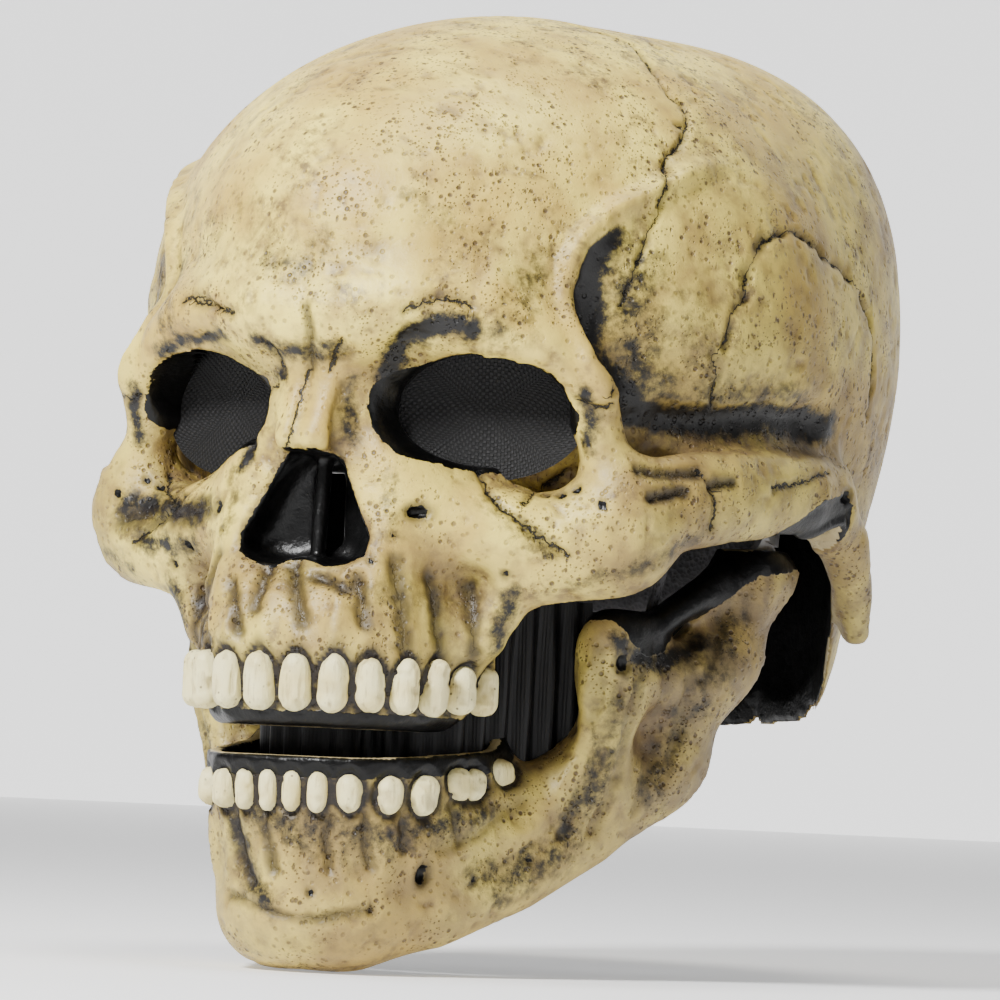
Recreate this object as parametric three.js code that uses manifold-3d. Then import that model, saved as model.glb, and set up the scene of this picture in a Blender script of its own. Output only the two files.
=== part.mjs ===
// Full-head latex skull mask with a swinging jaw.
//
// Millimetres, +Z up, the face looks along -Y, the skull's own left is +X.
// The shapes are written in a head frame whose origin lies midway between the ear
// openings; the exported group is shifted so that its origin is the centre of the
// crown pad's flat underside, where the mask rests on the wearer's head.
import * as THREE from 'three';
import { mergeVertices } from 'three/addons/utils/BufferGeometryUtils.js';
import Module from 'manifold-3d';

const wasm = await Module();
wasm.setup();

// ---------------------------------------------------------------- driving dimensions
const SEAT = [0, -8, 128];         // crown pad underside, head frame
const SKIN = 4.6;                  // latex wall as moulded, with its edge build-up
const GAP = 0.35;                  // clearance between glued or touching pieces
const LIP_Z = -70;                 // lower edge of the upper lip skin
const RIM_Z = -77.5;               // upper edge of the lower lip skin
const HINGE = [0, 4, 2];           // jaw axis runs along X through this point
const RIVET_R = 2.0;               // rivet shank radius
const JAW_PLATE_X = [84.2, 86.2];  // jaw-side hinge plate, inner and outer face
const WASHER_X = [86.5, 87.4];
const SKULL_PLATE_X = [87.7, 89.7];
const RIVET_HEAD_X = [89.95, 91.3];
const RIVET_TAIL_X = [82.6, 83.9];
const EYE = { x: 43, y: -104, z: 21, yaw: 22, hx: 23.5, hz: 15.5 };   // eye opening, half sizes
const CORE_SKULL = [0, -20, -5];   // every skull surface point is seen from here
const CORE_JAW = [0, -46, -78];

// ---------------------------------------------------------------- distance functions
const rad = (d) => (d * Math.PI) / 180;
function local(p, c, rz) {
  const x = p[0] - c[0], y = p[1] - c[1], z = p[2] - c[2];
  if (!rz) return [x, y, z];
  const a = rad(rz), ca = Math.cos(a), sa = Math.sin(a);
  return [ca * x + sa * y, -sa * x + ca * y, z];
}
function ellipsoid(p, c, r, rz = 0) {
  const q = local(p, c, rz);
  const k0 = Math.hypot(q[0] / r[0], q[1] / r[1], q[2] / r[2]);
  const k1 = Math.hypot(q[0] / r[0] ** 2, q[1] / r[1] ** 2, q[2] / r[2] ** 2);
  return (k0 * (k0 - 1)) / Math.max(k1, 1e-9);
}
function tube(p, pts, s = [1, 1, 1]) {
  let best = Infinity;
  const q = [p[0] * s[0], p[1] * s[1], p[2] * s[2]];
  for (let i = 0; i + 1 < pts.length; i++) {
    const a = pts[i], b = pts[i + 1];
    const ax = a[0] * s[0], ay = a[1] * s[1], az = a[2] * s[2];
    const bx = b[0] * s[0] - ax, by = b[1] * s[1] - ay, bz = b[2] * s[2] - az;
    const L = bx * bx + by * by + bz * bz;
    const t = Math.min(1, Math.max(0, ((q[0] - ax) * bx + (q[1] - ay) * by + (q[2] - az) * bz) / L));
    const d = Math.hypot(q[0] - ax - t * bx, q[1] - ay - t * by, q[2] - az - t * bz) - (a[3] + (b[3] - a[3]) * t);
    if (d < best) best = d;
  }
  return best / Math.max(...s);
}
const smin = (a, b, k) => { const h = Math.max(k - Math.abs(a - b), 0) / k; return Math.min(a, b) - h * h * k * 0.25; };
const smax = (a, b, k) => -smin(-a, -b, k);

// Rounded masses that blend into the cranium and face: [sign, blend, kind, ...].
const SKULL = [
  ['u', 0, 'E', [0, -8, 50.4], [105.8, 106.9, 94.1]],
  ['u', 30, 'E', [0, 47, 37.8], [97.5, 79.2, 71.9]],
  ['u', 24, 'E', [0, -53, 69.3], [63.3, 77.4, 51.9]],
  ['u', 30, 'E', [33.1, 47.1, 83.3], [60, 55.4, 54.6]],
  ['u', 26, 'E', [0, 44, -20], [88, 72, 92]],                                                  // nape skirt
  ['u', 20, 'T', [[0, -104, 40, 20], [0, -92, 0, 34], [0, -92, -30, 36], [0, -96, -46, 32]]],   // mid face
  ['u', 14, 'T', [[0, -124, 46, 11], [22, -120, 49, 11], [44, -110, 46, 11], [62, -99, 37, 9], [72, -92, 28, 7]]], // brow
  ['u', 8, 'T', [[72, -92, 28, 7], [73, -88, 12, 7], [76, -85, -2, 9]]],                        // outer orbit pillar
  ['u', 12, 'E', [77, -81, -13], [14, 12, 15], 20],                                            // cheek bone
  ['u', 14, 'T', [[24, -104, -8, 14], [46, -98, -14, 13], [66, -86, -16, 12]]],                 // lower orbit rim
  ['u', 8, 'T', [[6, -116, 28, 7], [5, -124, 14, 7], [5, -126, 7, 7]]],                         // nasal bones
  ['u', 12, 'T', [[20, -110, 18, 7], [23, -114, -6, 8], [22, -120, -26, 8]]],                   // beside the nose
  ['u', 14, 'T', [[0, -119, -50, 20], [20, -113, -50, 18], [33, -98, -50, 15], [38, -84, -50, 12]], [1, 1, 0.6]], // upper tooth arch
  ['u', 12, 'T', [[68, -84, -20, 10], [56, -84, -34, 9], [46, -84, -46, 9]]],                   // cheek to molars
  ['u', 6, 'T', [[80, -84, -10, 10], [88, -70, -3, 9], [95, -52, 1, 8], [99, -30, 4, 8], [101, -8, 6, 8], [98, 10, 4, 9]], [1, 1, 0.8]], // zygomatic arch
  ['u', 8, 'T', [[98, 10, 4, 8], [99, 26, -8, 8], [97, 40, -24, 6], [96, 46, -34, 4]]],         // mastoid flap
];
const JAW = [
  ['u', 0, 'T', [[0, -112, -106, 17], [22, -103, -104, 15], [37, -84, -98, 13], [50, -60, -89, 12], [60, -38, -80, 11]], [1, 1, 0.8]],
  ['u', 10, 'E', [0, -116, -121], [26, 18, 17]],                                               // chin
  ['u', 10, 'T', [[20, -106, -124, 12], [34, -88, -119, 11], [48, -64, -108, 10], [60, -42, -94, 9], [66, -24, -80, 9], [76, 12, -72, 9]]],
  ['u', 12, 'T', [[0, -122, -80, 14], [20, -114, -80, 13], [32, -97, -80, 11], [38, -80, -78, 10]], [1, 1, 0.5]],  // lower tooth arch
  ['u', 12, 'T', [[58, -62, -44, 8], [60, -60, -62, 9], [56, -58, -80, 9]]],                    // front of the ramus
  ['u', 14, 'T', [[80, 0, -20, 9], [76, -12, -40, 9], [71, -22, -62, 9], [64, -32, -80, 9]]],   // rear of the ramus
  ['u', 14, 'T', [[64, -50, -50, 9], [72, -26, -50, 9], [84, 20, -44, 9]]],
  ['u', 14, 'T', [[80, 0, -20, 9], [84, 24, -20, 9]]],
  ['u', 14, 'T', [[0, -96, -88, 36], [0, -50, -76, 50], [0, -10, -66, 60]]],                    // throat side, cut away later
];
function field(table, p) {
  const q = [Math.abs(p[0]), p[1], p[2]];
  let d = null;
  for (const [op, k, kind, ...a] of table) {
    const v = kind === 'E' ? ellipsoid(q, ...a) : tube(q, ...a);
    if (d === null) d = v;
    else d = k > 0 ? (op === 'u' ? smin(d, v, k) : smax(d, -v, k)) : Math.min(d, v);
  }
  return d;
}

// ---------------------------------------------------------------- meshes and solids
// Distance from the core at which the field crosses a level, searched from outside or inside.
function reach(table, core, dir, level, fromOutside) {
  const at = (r) => field(table, [core[0] + dir[0] * r, core[1] + dir[1] * r, core[2] + dir[2] * r]) - level;
  let lo, hi;
  if (fromOutside) {
    hi = 240; lo = hi - 3;
    while (lo > 6 && at(lo) > 0) { hi = lo; lo -= 3; }
  } else {
    lo = 4; hi = 7;
    while (hi < 240 && at(hi) < 0) { lo = hi; hi += 3; }
  }
  for (let i = 0; i < 14; i++) { const m = (lo + hi) / 2; if (at(m) > 0) hi = m; else lo = m; }
  return (lo + hi) / 2;
}
function star(table, core, detail, level, fromOutside) {
  const g = new THREE.IcosahedronGeometry(1, detail);
  const p = g.attributes.position, v = new THREE.Vector3();
  for (let i = 0; i < p.count; i++) {
    v.fromBufferAttribute(p, i).normalize();
    const r = reach(table, core, [v.x, v.y, v.z], level, fromOutside);
    p.setXYZ(i, core[0] + v.x * r, core[1] + v.y * r, core[2] + v.z * r);
  }
  return g;
}
function solid(geometry) {
  let g = geometry.clone();
  g.deleteAttribute('normal'); g.deleteAttribute('uv');
  g = mergeVertices(g, 1e-4);
  const index = g.index.array, pos = g.attributes.position.array, keep = [];
  for (let i = 0; i < index.length; i += 3) {
    const [a, b, c] = [index[i], index[i + 1], index[i + 2]];
    if (a !== b && b !== c && a !== c) keep.push(a, b, c);
  }
  return new wasm.Manifold(new wasm.Mesh({ numProp: 3, vertProperties: new Float32Array(pos), triVerts: new Uint32Array(keep) }));
}
function geometryOf(man) {
  const m = man.getMesh(), g = new THREE.BufferGeometry();
  const pos = new Float32Array((m.vertProperties.length / m.numProp) * 3);
  for (let i = 0, j = 0; i < m.vertProperties.length; i += m.numProp) for (let k = 0; k < 3; k++) pos[j++] = m.vertProperties[i + k];
  g.setAttribute('position', new THREE.BufferAttribute(pos, 3));
  g.setIndex(new THREE.BufferAttribute(new Uint32Array(m.triVerts), 1));
  g.computeVertexNormals();
  return g;
}
const largest = (man) => man.decompose().sort((a, b) => b.volume() - a.volume())[0];
const at = (g, x, y, z) => { g.translate(x, y, z); return g; };
// Outline in the side view (y, z), swept along X between two stations.
function sideSlab(outline, x0, x1) {
  const s = new THREE.Shape(outline.map(([y, z]) => new THREE.Vector2(y, z)));
  const g = new THREE.ExtrudeGeometry(s, { depth: x1 - x0, bevelEnabled: false, curveSegments: 10 });
  g.applyMatrix4(new THREE.Matrix4().set(0, 0, 1, x0, 1, 0, 0, 0, 0, 1, 0, 0, 0, 0, 0, 1));
  return g;
}
// Outline in plan (x, y), swept up Z between two levels.
function planSlab(outline, z0, z1) {
  const s = new THREE.Shape(outline.map(([x, y]) => new THREE.Vector2(x, y)));
  return at(new THREE.ExtrudeGeometry(s, { depth: z1 - z0, bevelEnabled: false }), 0, 0, z0);
}
const mirrored = (half) => [...half, ...half.filter(([x]) => x > 0).map(([x, y]) => [-x, y]).reverse()];
// Round bar along X.
function discX(r0, r1, x0, x1, y, z, n = 20) {
  const g = new THREE.CylinderGeometry(r1, r0, x1 - x0, n);
  g.rotateZ(-Math.PI / 2);
  return at(g, (x0 + x1) / 2, y, z);
}
// Elliptic prism whose axis is turned by yaw about Z; local +Y is the prism's axis.
function eyePrism(hx, hz, y0, y1, taper = 1, n = 28) {
  const g = new THREE.CylinderGeometry(1, taper, y1 - y0, n);    // along +Y
  g.scale(hx, 1, hz);
  g.translate(0, (y0 + y1) / 2, 0);
  return g;
}
function placeEye(g, side) {
  if (side < 0) g.applyMatrix4(new THREE.Matrix4().makeScale(-1, 1, 1)), flip(g);
  return g;
}
function flip(g) {
  if (!g.index) return g;
  const a = g.index.array;
  for (let i = 0; i < a.length; i += 3) [a[i], a[i + 1]] = [a[i + 1], a[i]];
  return g;
}
function atEye(g, side) {
  g.rotateZ(rad(EYE.yaw));
  g.translate(EYE.x, EYE.y, EYE.z);
  return placeEye(g, side);
}
function mirrorX(g) {
  let h = g.clone();
  if (!h.index) h = mergeVertices(h, 1e-5);
  h.applyMatrix4(new THREE.Matrix4().makeScale(-1, 1, 1));
  return flip(h);
}
const pair = (g) => [g, mirrorX(g)];

// ---------------------------------------------------------------- skull skin
const outerSkull = solid(star(SKULL, CORE_SKULL, 12, 0, true));
const innerSkull = solid(star(SKULL, CORE_SKULL, 9, -SKIN, true));
// Glue line for what is stuck to the inside of the skin.
const glueSkull = solid(star(SKULL, CORE_SKULL, 9, -SKIN - 1.0, true));
const padSkull = solid(star(SKULL, CORE_SKULL, 7, -SKIN - 9.5, true));

const belowSkull = solid(sideSlab([
  [-170, LIP_Z], [-84, LIP_Z], [-78, -58], [-66, -38], [-30, -20], [0, -6], [8, -4], [22, -22], [42, -38],
  [51, -37], [58, -50], [75, -60], [110, -64], [170, -64], [170, -200], [-170, -200]], -150, 150));
const throat = solid(planSlab(mirrored([
  [0, -112], [20, -108], [36, -94], [42, -78], [54, -68], [76, -62], [85, -44], [89.5, -14], [90, 7], [94, 12], [94, 30], [87, 48], [70, 76], [42, 98], [0, 106]]), -150, 2));
// Eye sockets: a tapering recess with a flat floor; the floor is pierced by the eye opening.
const socketCut = pair(atEye(eyePrism(26, 18, -40, 0, 1.35), 1)).map(solid);
const socketWall = pair(atEye(eyePrism(29.5, 21.5, -44, SKIN, 1.35), 1)).map(solid);
const socketFloor = pair(atEye(eyePrism(29.5, 21.5, -9, SKIN, 1.05), 1)).map(solid);
const eyeHole = pair(atEye(eyePrism(EYE.hx, EYE.hz, -3, 12), 1)).map(solid);
// Nose recess.
const noseOutline = [[0, 6], [7, 2], [12, -10], [18, -22], [14, -30], [6, -28], [0, -27]];
function noseSlab(grow, yFront, yBack) {
  const pts = mirrored(noseOutline.map(([x, z]) => [x === 0 ? 0 : x + grow, z + (z > -20 ? grow : -grow)]));
  const s = new THREE.Shape(pts.map(([x, z]) => new THREE.Vector2(x, z)));
  const g = new THREE.ExtrudeGeometry(s, { depth: yBack - yFront, bevelEnabled: false });
  g.rotateX(Math.PI / 2);                     // depth along -Y
  return at(g, 0, yBack, 0);
}
const noseCut = solid(noseSlab(0, -170, -115));
const noseWall = solid(noseSlab(SKIN, -170, -115 + SKIN));

let cavity = innerSkull.add(throat);
cavity = cavity.subtract(socketWall[0]).subtract(socketWall[1]).subtract(noseWall);
let skullSkin = outerSkull.add(socketFloor[0]).add(socketFloor[1]).subtract(belowSkull).subtract(cavity);
for (const c of [...socketCut, noseCut, ...eyeHole]) skullSkin = skullSkin.subtract(c);

// ---------------------------------------------------------------- hinge hardware
const [, HY, HZ] = HINGE;
function hingePlate() {
  const s = new THREE.Shape();
  s.absarc(HY, HZ, 9, Math.PI, 2 * Math.PI, false);
  s.lineTo(HY + 9, HZ + 22);
  s.absarc(HY, HZ + 22, 9, 0, Math.PI, false);
  const hole = new THREE.Path();
  hole.absarc(HY, HZ, RIVET_R + 0.4, 0, 2 * Math.PI, true);
  s.holes.push(hole);
  const g = new THREE.ExtrudeGeometry(s, { depth: SKULL_PLATE_X[1] - SKULL_PLATE_X[0], bevelEnabled: false, curveSegments: 12 });
  g.applyMatrix4(new THREE.Matrix4().set(0, 0, 1, SKULL_PLATE_X[0], 1, 0, 0, 0, 0, 1, 0, 0, 0, 0, 0, 1));
  return g;
}
const skullPlate = solid(hingePlate());
const skullPlateRoom = solid(sideSlab([
  [HY - 9.6, HZ - 20], [HY + 9.6, HZ - 20], [HY + 9.6, HZ + 26], [HY + 5, HZ + 32], [HY - 5, HZ + 32], [HY - 9.6, HZ + 26]],
  SKULL_PLATE_X[0] - 6, SKULL_PLATE_X[1] + GAP));
const rivetRoom = solid(discX(6, 6, RIVET_HEAD_X[0] - 1, RIVET_HEAD_X[1] + 0.5, HY, HZ));
const mirrorSolid = (m) => solid(mirrorX(geometryOf(m)));
skullSkin = skullSkin.subtract(skullPlateRoom).subtract(rivetRoom)
  .subtract(mirrorSolid(skullPlateRoom)).subtract(mirrorSolid(rivetRoom));
const meshRoomBlank = eyePrism(25.5, 19.5, SKIN, SKIN + GAP + 1.9);
meshRoomBlank.translate(1.2, 0, 0);
for (const c of pair(atEye(meshRoomBlank, 1)).map(solid)) skullSkin = skullSkin.subtract(c);
skullSkin = largest(skullSkin);

function rivet() {
  const [t0, t1] = RIVET_TAIL_X, [h0, h1] = RIVET_HEAD_X;
  const pts = [[0, t0], [2.6, t0], [3.6, t0 + 0.5], [3.6, t1], [RIVET_R, t1], [RIVET_R, h0], [4.6, h0], [4.6, h1 - 0.6], [3.6, h1], [0, h1]];
  const g = new THREE.LatheGeometry(pts.map(([r, x]) => new THREE.Vector2(r, x)), 20);
  g.rotateZ(-Math.PI / 2);                  // lathe axis to +X
  return at(g, 0, HY, HZ);
}
function washer() {
  const s = new THREE.Shape();
  s.absarc(HY, HZ, 5, 0, 2 * Math.PI, false);
  const h = new THREE.Path();
  h.absarc(HY, HZ, RIVET_R + 0.35, 0, 2 * Math.PI, true);
  s.holes.push(h);
  const g = new THREE.ExtrudeGeometry(s, { depth: WASHER_X[1] - WASHER_X[0], bevelEnabled: false, curveSegments: 10 });
  g.applyMatrix4(new THREE.Matrix4().set(0, 0, 1, WASHER_X[0], 1, 0, 0, 0, 0, 1, 0, 0, 0, 0, 0, 1));
  return g;
}

// ---------------------------------------------------------------- jaw skin
const outerJaw = solid(star(JAW, CORE_JAW, 10, 0, true));
const innerJaw = solid(star(JAW, CORE_JAW, 8, -SKIN + 0.6, true));
const keepJaw = solid(sideSlab([
  [-170, RIM_Z], [-84, RIM_Z + 2], [-72, RIM_Z + 5], [-69, -44], [-64, -36], [-56, -38], [-44, -44], [-30, -38], [-14, -18],
  [-6, -13], [8, -12], [12, -18], [2, -34], [-6, -52], [-14, -72], [-20, -90], [-36, -106], [-60, -124], [-84, -140], [-170, -150]], -150, 150));
const jawCore = solid(planSlab(mirrored([
  [0, -88], [16, -86], [28, -74], [40, -52], [56, -24], [66, 6], [68, 40], [0, 40]]), -200, -84));
const jawTop = solid(planSlab(mirrored([
  [0, -112], [20, -106], [33, -88], [43, -70], [51, -56], [56, -44], [63, -24], [70, -4], [76, 40], [0, 40]]), -86, 40));
const jawWide = solid(planSlab(mirrored([
  [0, -112], [20, -106], [33, -88], [44, -70], [54, -57], [62, -44], [70, -24], [76, -4], [78, 40], [0, 40]]), -66, 40));
let jawSkin = outerJaw.intersect(keepJaw).subtract(innerJaw).subtract(jawCore).subtract(jawTop).subtract(jawWide);

// Jaw-side hinge plate: an eye at the rivet and a leg glued inside the ramus.
function bar(p, q, thick, wide) {
  const a = new THREE.Vector3(...p), b = new THREE.Vector3(...q), d = b.clone().sub(a);
  const g = new THREE.BoxGeometry(thick, wide, d.length());
  const z = d.clone().normalize(), y = new THREE.Vector3(0, 1, 0).sub(z.clone().multiplyScalar(z.y)).normalize(), x = y.clone().cross(z);
  g.applyMatrix4(new THREE.Matrix4().makeBasis(x, y, z).setPosition(a.add(b).multiplyScalar(0.5)));
  return g;
}
const eyeX = (JAW_PLATE_X[0] + JAW_PLATE_X[1]) / 2;
let jawPlate = solid(discX(8, 8, JAW_PLATE_X[0], JAW_PLATE_X[1], HY, HZ))
  .add(solid(bar([eyeX, HY - 0.5, HZ], [eyeX, HY - 2, HZ - 12], 2, 12)))
  .add(solid(bar([eyeX, HY - 1.8, HZ - 11], [72.5, -14, -46], 2, 12)));
const rivetBore = solid(discX(RIVET_R + 0.4, RIVET_R + 0.4, 80, 96, HY, HZ, 16));
jawPlate = jawPlate.subtract(rivetBore);
const jawPlateRoom = solid(bar([eyeX, HY - 0.5, HZ - 3], [eyeX, HY - 2, HZ - 12.4], 2.8, 13))
  .add(solid(bar([eyeX, HY - 1.8, HZ - 10.6], [72.35, -14.2, -46.5], 2.8, 13)));
jawSkin = jawSkin.subtract(jawPlateRoom).subtract(mirrorSolid(jawPlateRoom));

// ---------------------------------------------------------------- foam pads and strap inside the skull
const box = (x0, x1, y0, y1, z0, z1) => solid(at(new THREE.BoxGeometry(x1 - x0, y1 - y0, z1 - z0), (x0 + x1) / 2, (y0 + y1) / 2, (z0 + z1) / 2));
const padZone = glueSkull.subtract(padSkull);
const crownPad = glueSkull.intersect(solid(at(new THREE.CylinderGeometry(46, 46, 60, 32).rotateX(Math.PI / 2), SEAT[0], SEAT[1], SEAT[2] + 30)));
const browPad = padZone.intersect(box(-42, 42, -140, -70, 62, 88));
const sidePad = padZone.intersect(box(60, 110, 8, 56, 34, 74));
const napePad = padZone.intersect(box(-38, 38, 60, 140, -30, 10));

// Point on the inside of the skull skin, depth below the outer surface, along +X at (y, z).
function insideX(y, z, depth) {
  let hi = 115, lo = 60;
  for (let i = 0; i < 22; i++) { const m = (lo + hi) / 2; if (field(SKULL, [m, y, z]) > -depth) hi = m; else lo = m; }
  return lo;
}
// Head strap: a flat elastic band round the back of the wearer's head, glued to the sides under a patch.
const STRAP_Z = 18;
const strapPath = [[insideX(24, STRAP_Z, SKIN + 3.6), 24, STRAP_Z], [insideX(32, STRAP_Z, SKIN + 3.6), 32, STRAP_Z],
  [insideX(40, STRAP_Z, SKIN + 3.8), 40, STRAP_Z], [84, 58, 19], [66, 76, 20], [46, 88, 21], [22, 95, 22], [0, 97, 22]];
const patchZone = solid(star(SKULL, CORE_SKULL, 9, -SKIN - 4.0, true)).subtract(solid(star(SKULL, CORE_SKULL, 9, -SKIN - 7.0, true)));
function strapSolid(w = 8, t = 0.8) {
  const half = strapPath.map(([x, y, z]) => new THREE.Vector3(x, y, z));
  const full = [...half, ...half.slice(0, -1).reverse().map((v) => new THREE.Vector3(-v.x, v.y, v.z))];
  const curve = new THREE.CatmullRomCurve3(full, false, 'catmullrom', 0.5);
  const n = 30, pos = [], idx = [];
  for (let i = 0; i <= n; i++) {
    const p = curve.getPoint(i / n), q = curve.getTangent(i / n);
    const out = new THREE.Vector3(q.y, -q.x, 0).normalize().multiplyScalar(t);
    for (const [s, u] of [[1, -w], [1, w], [-1, w], [-1, -w]]) pos.push(p.x + s * out.x, p.y + s * out.y, p.z + u);
  }
  for (let i = 0; i < n; i++) for (let k = 0; k < 4; k++) {
    const a = i * 4 + k, b = i * 4 + ((k + 1) % 4), c = a + 4, d = b + 4;
    idx.push(a, c, b, b, c, d);
  }
  idx.push(0, 1, 2, 0, 2, 3);
  const e = n * 4;
  idx.push(e, e + 2, e + 1, e, e + 3, e + 2);
  const g = new THREE.BufferGeometry();
  g.setAttribute('position', new THREE.Float32BufferAttribute(pos, 3));
  g.setIndex(idx);
  let m = new wasm.Manifold(new wasm.Mesh({ numProp: 3, vertProperties: new Float32Array(pos), triVerts: new Uint32Array(idx) }));
  if (m.volume() < 0) { for (let i = 0; i < idx.length; i += 3) [idx[i], idx[i + 1]] = [idx[i + 1], idx[i]]; m = new wasm.Manifold(new wasm.Mesh({ numProp: 3, vertProperties: new Float32Array(pos), triVerts: new Uint32Array(idx) })); }
  return m;
}
const strap = strapSolid();
const strapPatch = patchZone.intersect(solid(discX(12, 12, 70, 115, 31, STRAP_Z, 20))).subtract(strapSolid(8.6, 1.25));

// Latex boss that fills the root of the cheek arch and carries the hinge plate.
const boss = glueSkull.intersect(box(SKULL_PLATE_X[1] + GAP, 112, HY - 11, HY + 12, HZ - 4, HZ + 30)).subtract(rivetRoom);

// Fabric mesh panels behind the eye openings.
const eyeMeshBlank = eyePrism(25, 19, SKIN + GAP, SKIN + GAP + 1.4);
eyeMeshBlank.translate(1.2, 0, 0);
const eyeMesh = solid(atEye(eyeMeshBlank, 1));

// Chin cup and its pad, inside the jaw skin.
const jawLevel = (d) => solid(star(JAW, CORE_JAW, 8, -SKIN + 0.6 - d, true));
const chinCup = jawLevel(1.2).subtract(jawLevel(3.0)).intersect(box(-26, 26, -150, -97, -130, -97)).subtract(jawCore);
const chinPad = jawLevel(3.5).subtract(jawLevel(9)).intersect(box(-22, 22, -150, -99, -127, -100)).subtract(jawCore);

// Closing elastics, one each side, in front of the hinge; round cord.
function rod(a, b, r) {
  const g = new THREE.ExtrudeGeometry(new THREE.Shape().absarc(0, 0, r, 0, 2 * Math.PI, false), {
    extrudePath: new THREE.LineCurve3(new THREE.Vector3(...a), new THREE.Vector3(...b)), steps: 1, bevelEnabled: false, curveSegments: 8 });
  return solid(g);
}
const elastic = rod([77, -34, 12], [58, -34, -58], 1.7);

// Black stretch-fabric lining behind both rows of teeth, from one cheek round to the other.
const LINING_SIDE = [[52, -46], [48, -55], [43, -64], [38, -73], [34, -82], [30, -90], [26, -95], [16, -101.5]];
const LINING = [...LINING_SIDE, [0, -104.5], ...LINING_SIDE.map(([x, y]) => [-x, y]).reverse()];
const LINING_Z = [-88, -30];
function ribbonPlan(path, half) {
  const left = [], right = [];
  path.forEach(([x, y], i) => {
    const p = path[Math.max(0, i - 1)], q = path[Math.min(path.length - 1, i + 1)];
    const dx = q[0] - p[0], dy = q[1] - p[1], L = Math.hypot(dx, dy);
    left.push([x - (dy / L) * half, y + (dx / L) * half]);
    right.push([x + (dy / L) * half, y - (dx / L) * half]);
  });
  return [...right, ...left.reverse()];
}
const lining = solid(planSlab(ribbonPlan(LINING, 0.75), ...LINING_Z));

// ---------------------------------------------------------------- assembly
const group = new THREE.Group();
const shift = new THREE.Group();
shift.position.set(-SEAT[0], -SEAT[1], -SEAT[2]);
group.add(shift);
const look = {
  bone: { color: 0xcdb98a, roughness: 0.55, metalness: 0 },
  black: { color: 0x141214, roughness: 0.4, metalness: 0 },
  mesh: { color: 0x18181b, roughness: 0.9, metalness: 0 },
  foam: { color: 0x3a3a3c, roughness: 1, metalness: 0 },
  webbing: { color: 0x1b1b1d, roughness: 0.85, metalness: 0 },
  steel: { color: 0xb4b6b8, roughness: 0.35, metalness: 1 },
  plastic: { color: 0x202123, roughness: 0.5, metalness: 0 },
};
function put(name, man, kind) {
  const mesh = new THREE.Mesh(geometryOf(man), new THREE.MeshStandardMaterial(look[kind]));
  mesh.name = name;
  shift.add(mesh);
}
put('skull_shell', skullSkin, 'bone');
put('jaw_shell', largest(jawSkin), 'bone');
put('crown_pad', largest(crownPad), 'foam');
put('brow_pad', largest(browPad), 'foam');
put('nape_pad', largest(napePad), 'foam');
put('head_strap', strap, 'webbing');
put('chin_cup', largest(chinCup), 'plastic');
put('chin_pad', largest(chinPad), 'foam');
put('mouth_lining', lining, 'webbing');
for (const [side, s] of [['left', 1], ['right', -1]]) {
  const m = (x) => (s > 0 ? x : mirrorSolid(x));
  put(`hinge_plate_${side}`, m(skullPlate), 'steel');
  put(`jaw_plate_${side}`, m(jawPlate), 'steel');
  put(`hinge_rivet_${side}`, m(solid(rivet())), 'steel');
  put(`hinge_washer_${side}`, m(solid(washer())), 'plastic');
  put(`hinge_boss_${side}`, m(largest(boss)), 'black');
  put(`side_pad_${side}`, m(largest(sidePad)), 'foam');
  put(`strap_patch_${side}`, m(largest(strapPatch)), 'webbing');
  put(`eye_mesh_${side}`, m(eyeMesh), 'mesh');
  put(`jaw_elastic_${side}`, m(elastic), 'webbing');
}
export default group;
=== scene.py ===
"""Visual model of a full-head latex skull mask with a hinged jaw.

Shapes are worked out in the head frame, in millimetres: origin between the ear openings,
+Z up, the face looks along -Y, the skull's own left is +X. The row frame's origin is the
centre of the crown pad's flat underside, at (0, -8, 128) of the head frame.
"""
import math

import bpy
import numpy as np
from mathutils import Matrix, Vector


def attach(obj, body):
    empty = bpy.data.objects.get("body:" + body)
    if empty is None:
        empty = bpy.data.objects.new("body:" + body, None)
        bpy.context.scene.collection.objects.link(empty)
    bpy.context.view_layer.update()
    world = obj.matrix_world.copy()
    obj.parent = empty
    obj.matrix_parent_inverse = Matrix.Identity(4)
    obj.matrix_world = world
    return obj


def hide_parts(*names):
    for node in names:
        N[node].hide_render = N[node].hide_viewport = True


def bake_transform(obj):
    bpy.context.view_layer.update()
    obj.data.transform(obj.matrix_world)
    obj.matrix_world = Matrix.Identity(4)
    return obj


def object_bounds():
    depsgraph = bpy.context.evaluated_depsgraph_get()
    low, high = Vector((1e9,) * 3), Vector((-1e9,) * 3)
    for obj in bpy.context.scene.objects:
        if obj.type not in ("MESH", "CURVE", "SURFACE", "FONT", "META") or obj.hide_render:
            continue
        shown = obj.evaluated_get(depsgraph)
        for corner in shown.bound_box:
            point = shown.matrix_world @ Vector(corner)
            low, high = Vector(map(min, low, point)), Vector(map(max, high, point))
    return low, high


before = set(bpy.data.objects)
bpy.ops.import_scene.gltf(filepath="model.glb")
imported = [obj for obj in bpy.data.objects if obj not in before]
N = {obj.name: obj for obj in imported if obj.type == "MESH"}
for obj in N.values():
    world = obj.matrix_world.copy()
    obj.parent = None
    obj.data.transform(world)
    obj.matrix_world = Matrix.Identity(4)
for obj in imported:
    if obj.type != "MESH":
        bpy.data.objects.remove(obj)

import openvdb as vdb
from mathutils import Matrix, Vector

f32 = np.float32
SEAT = np.array([0.0, -8.0, 128.0])
CAD_LO, CAD_HI = [list(map(float, v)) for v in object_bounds()]
FINE = 1.2        # mesh pitch of the skins
SKIN_T = 4.0                        # latex thickness drawn


def row(p):
    return (np.asarray(p, float) - SEAT) / 1000.0


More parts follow.
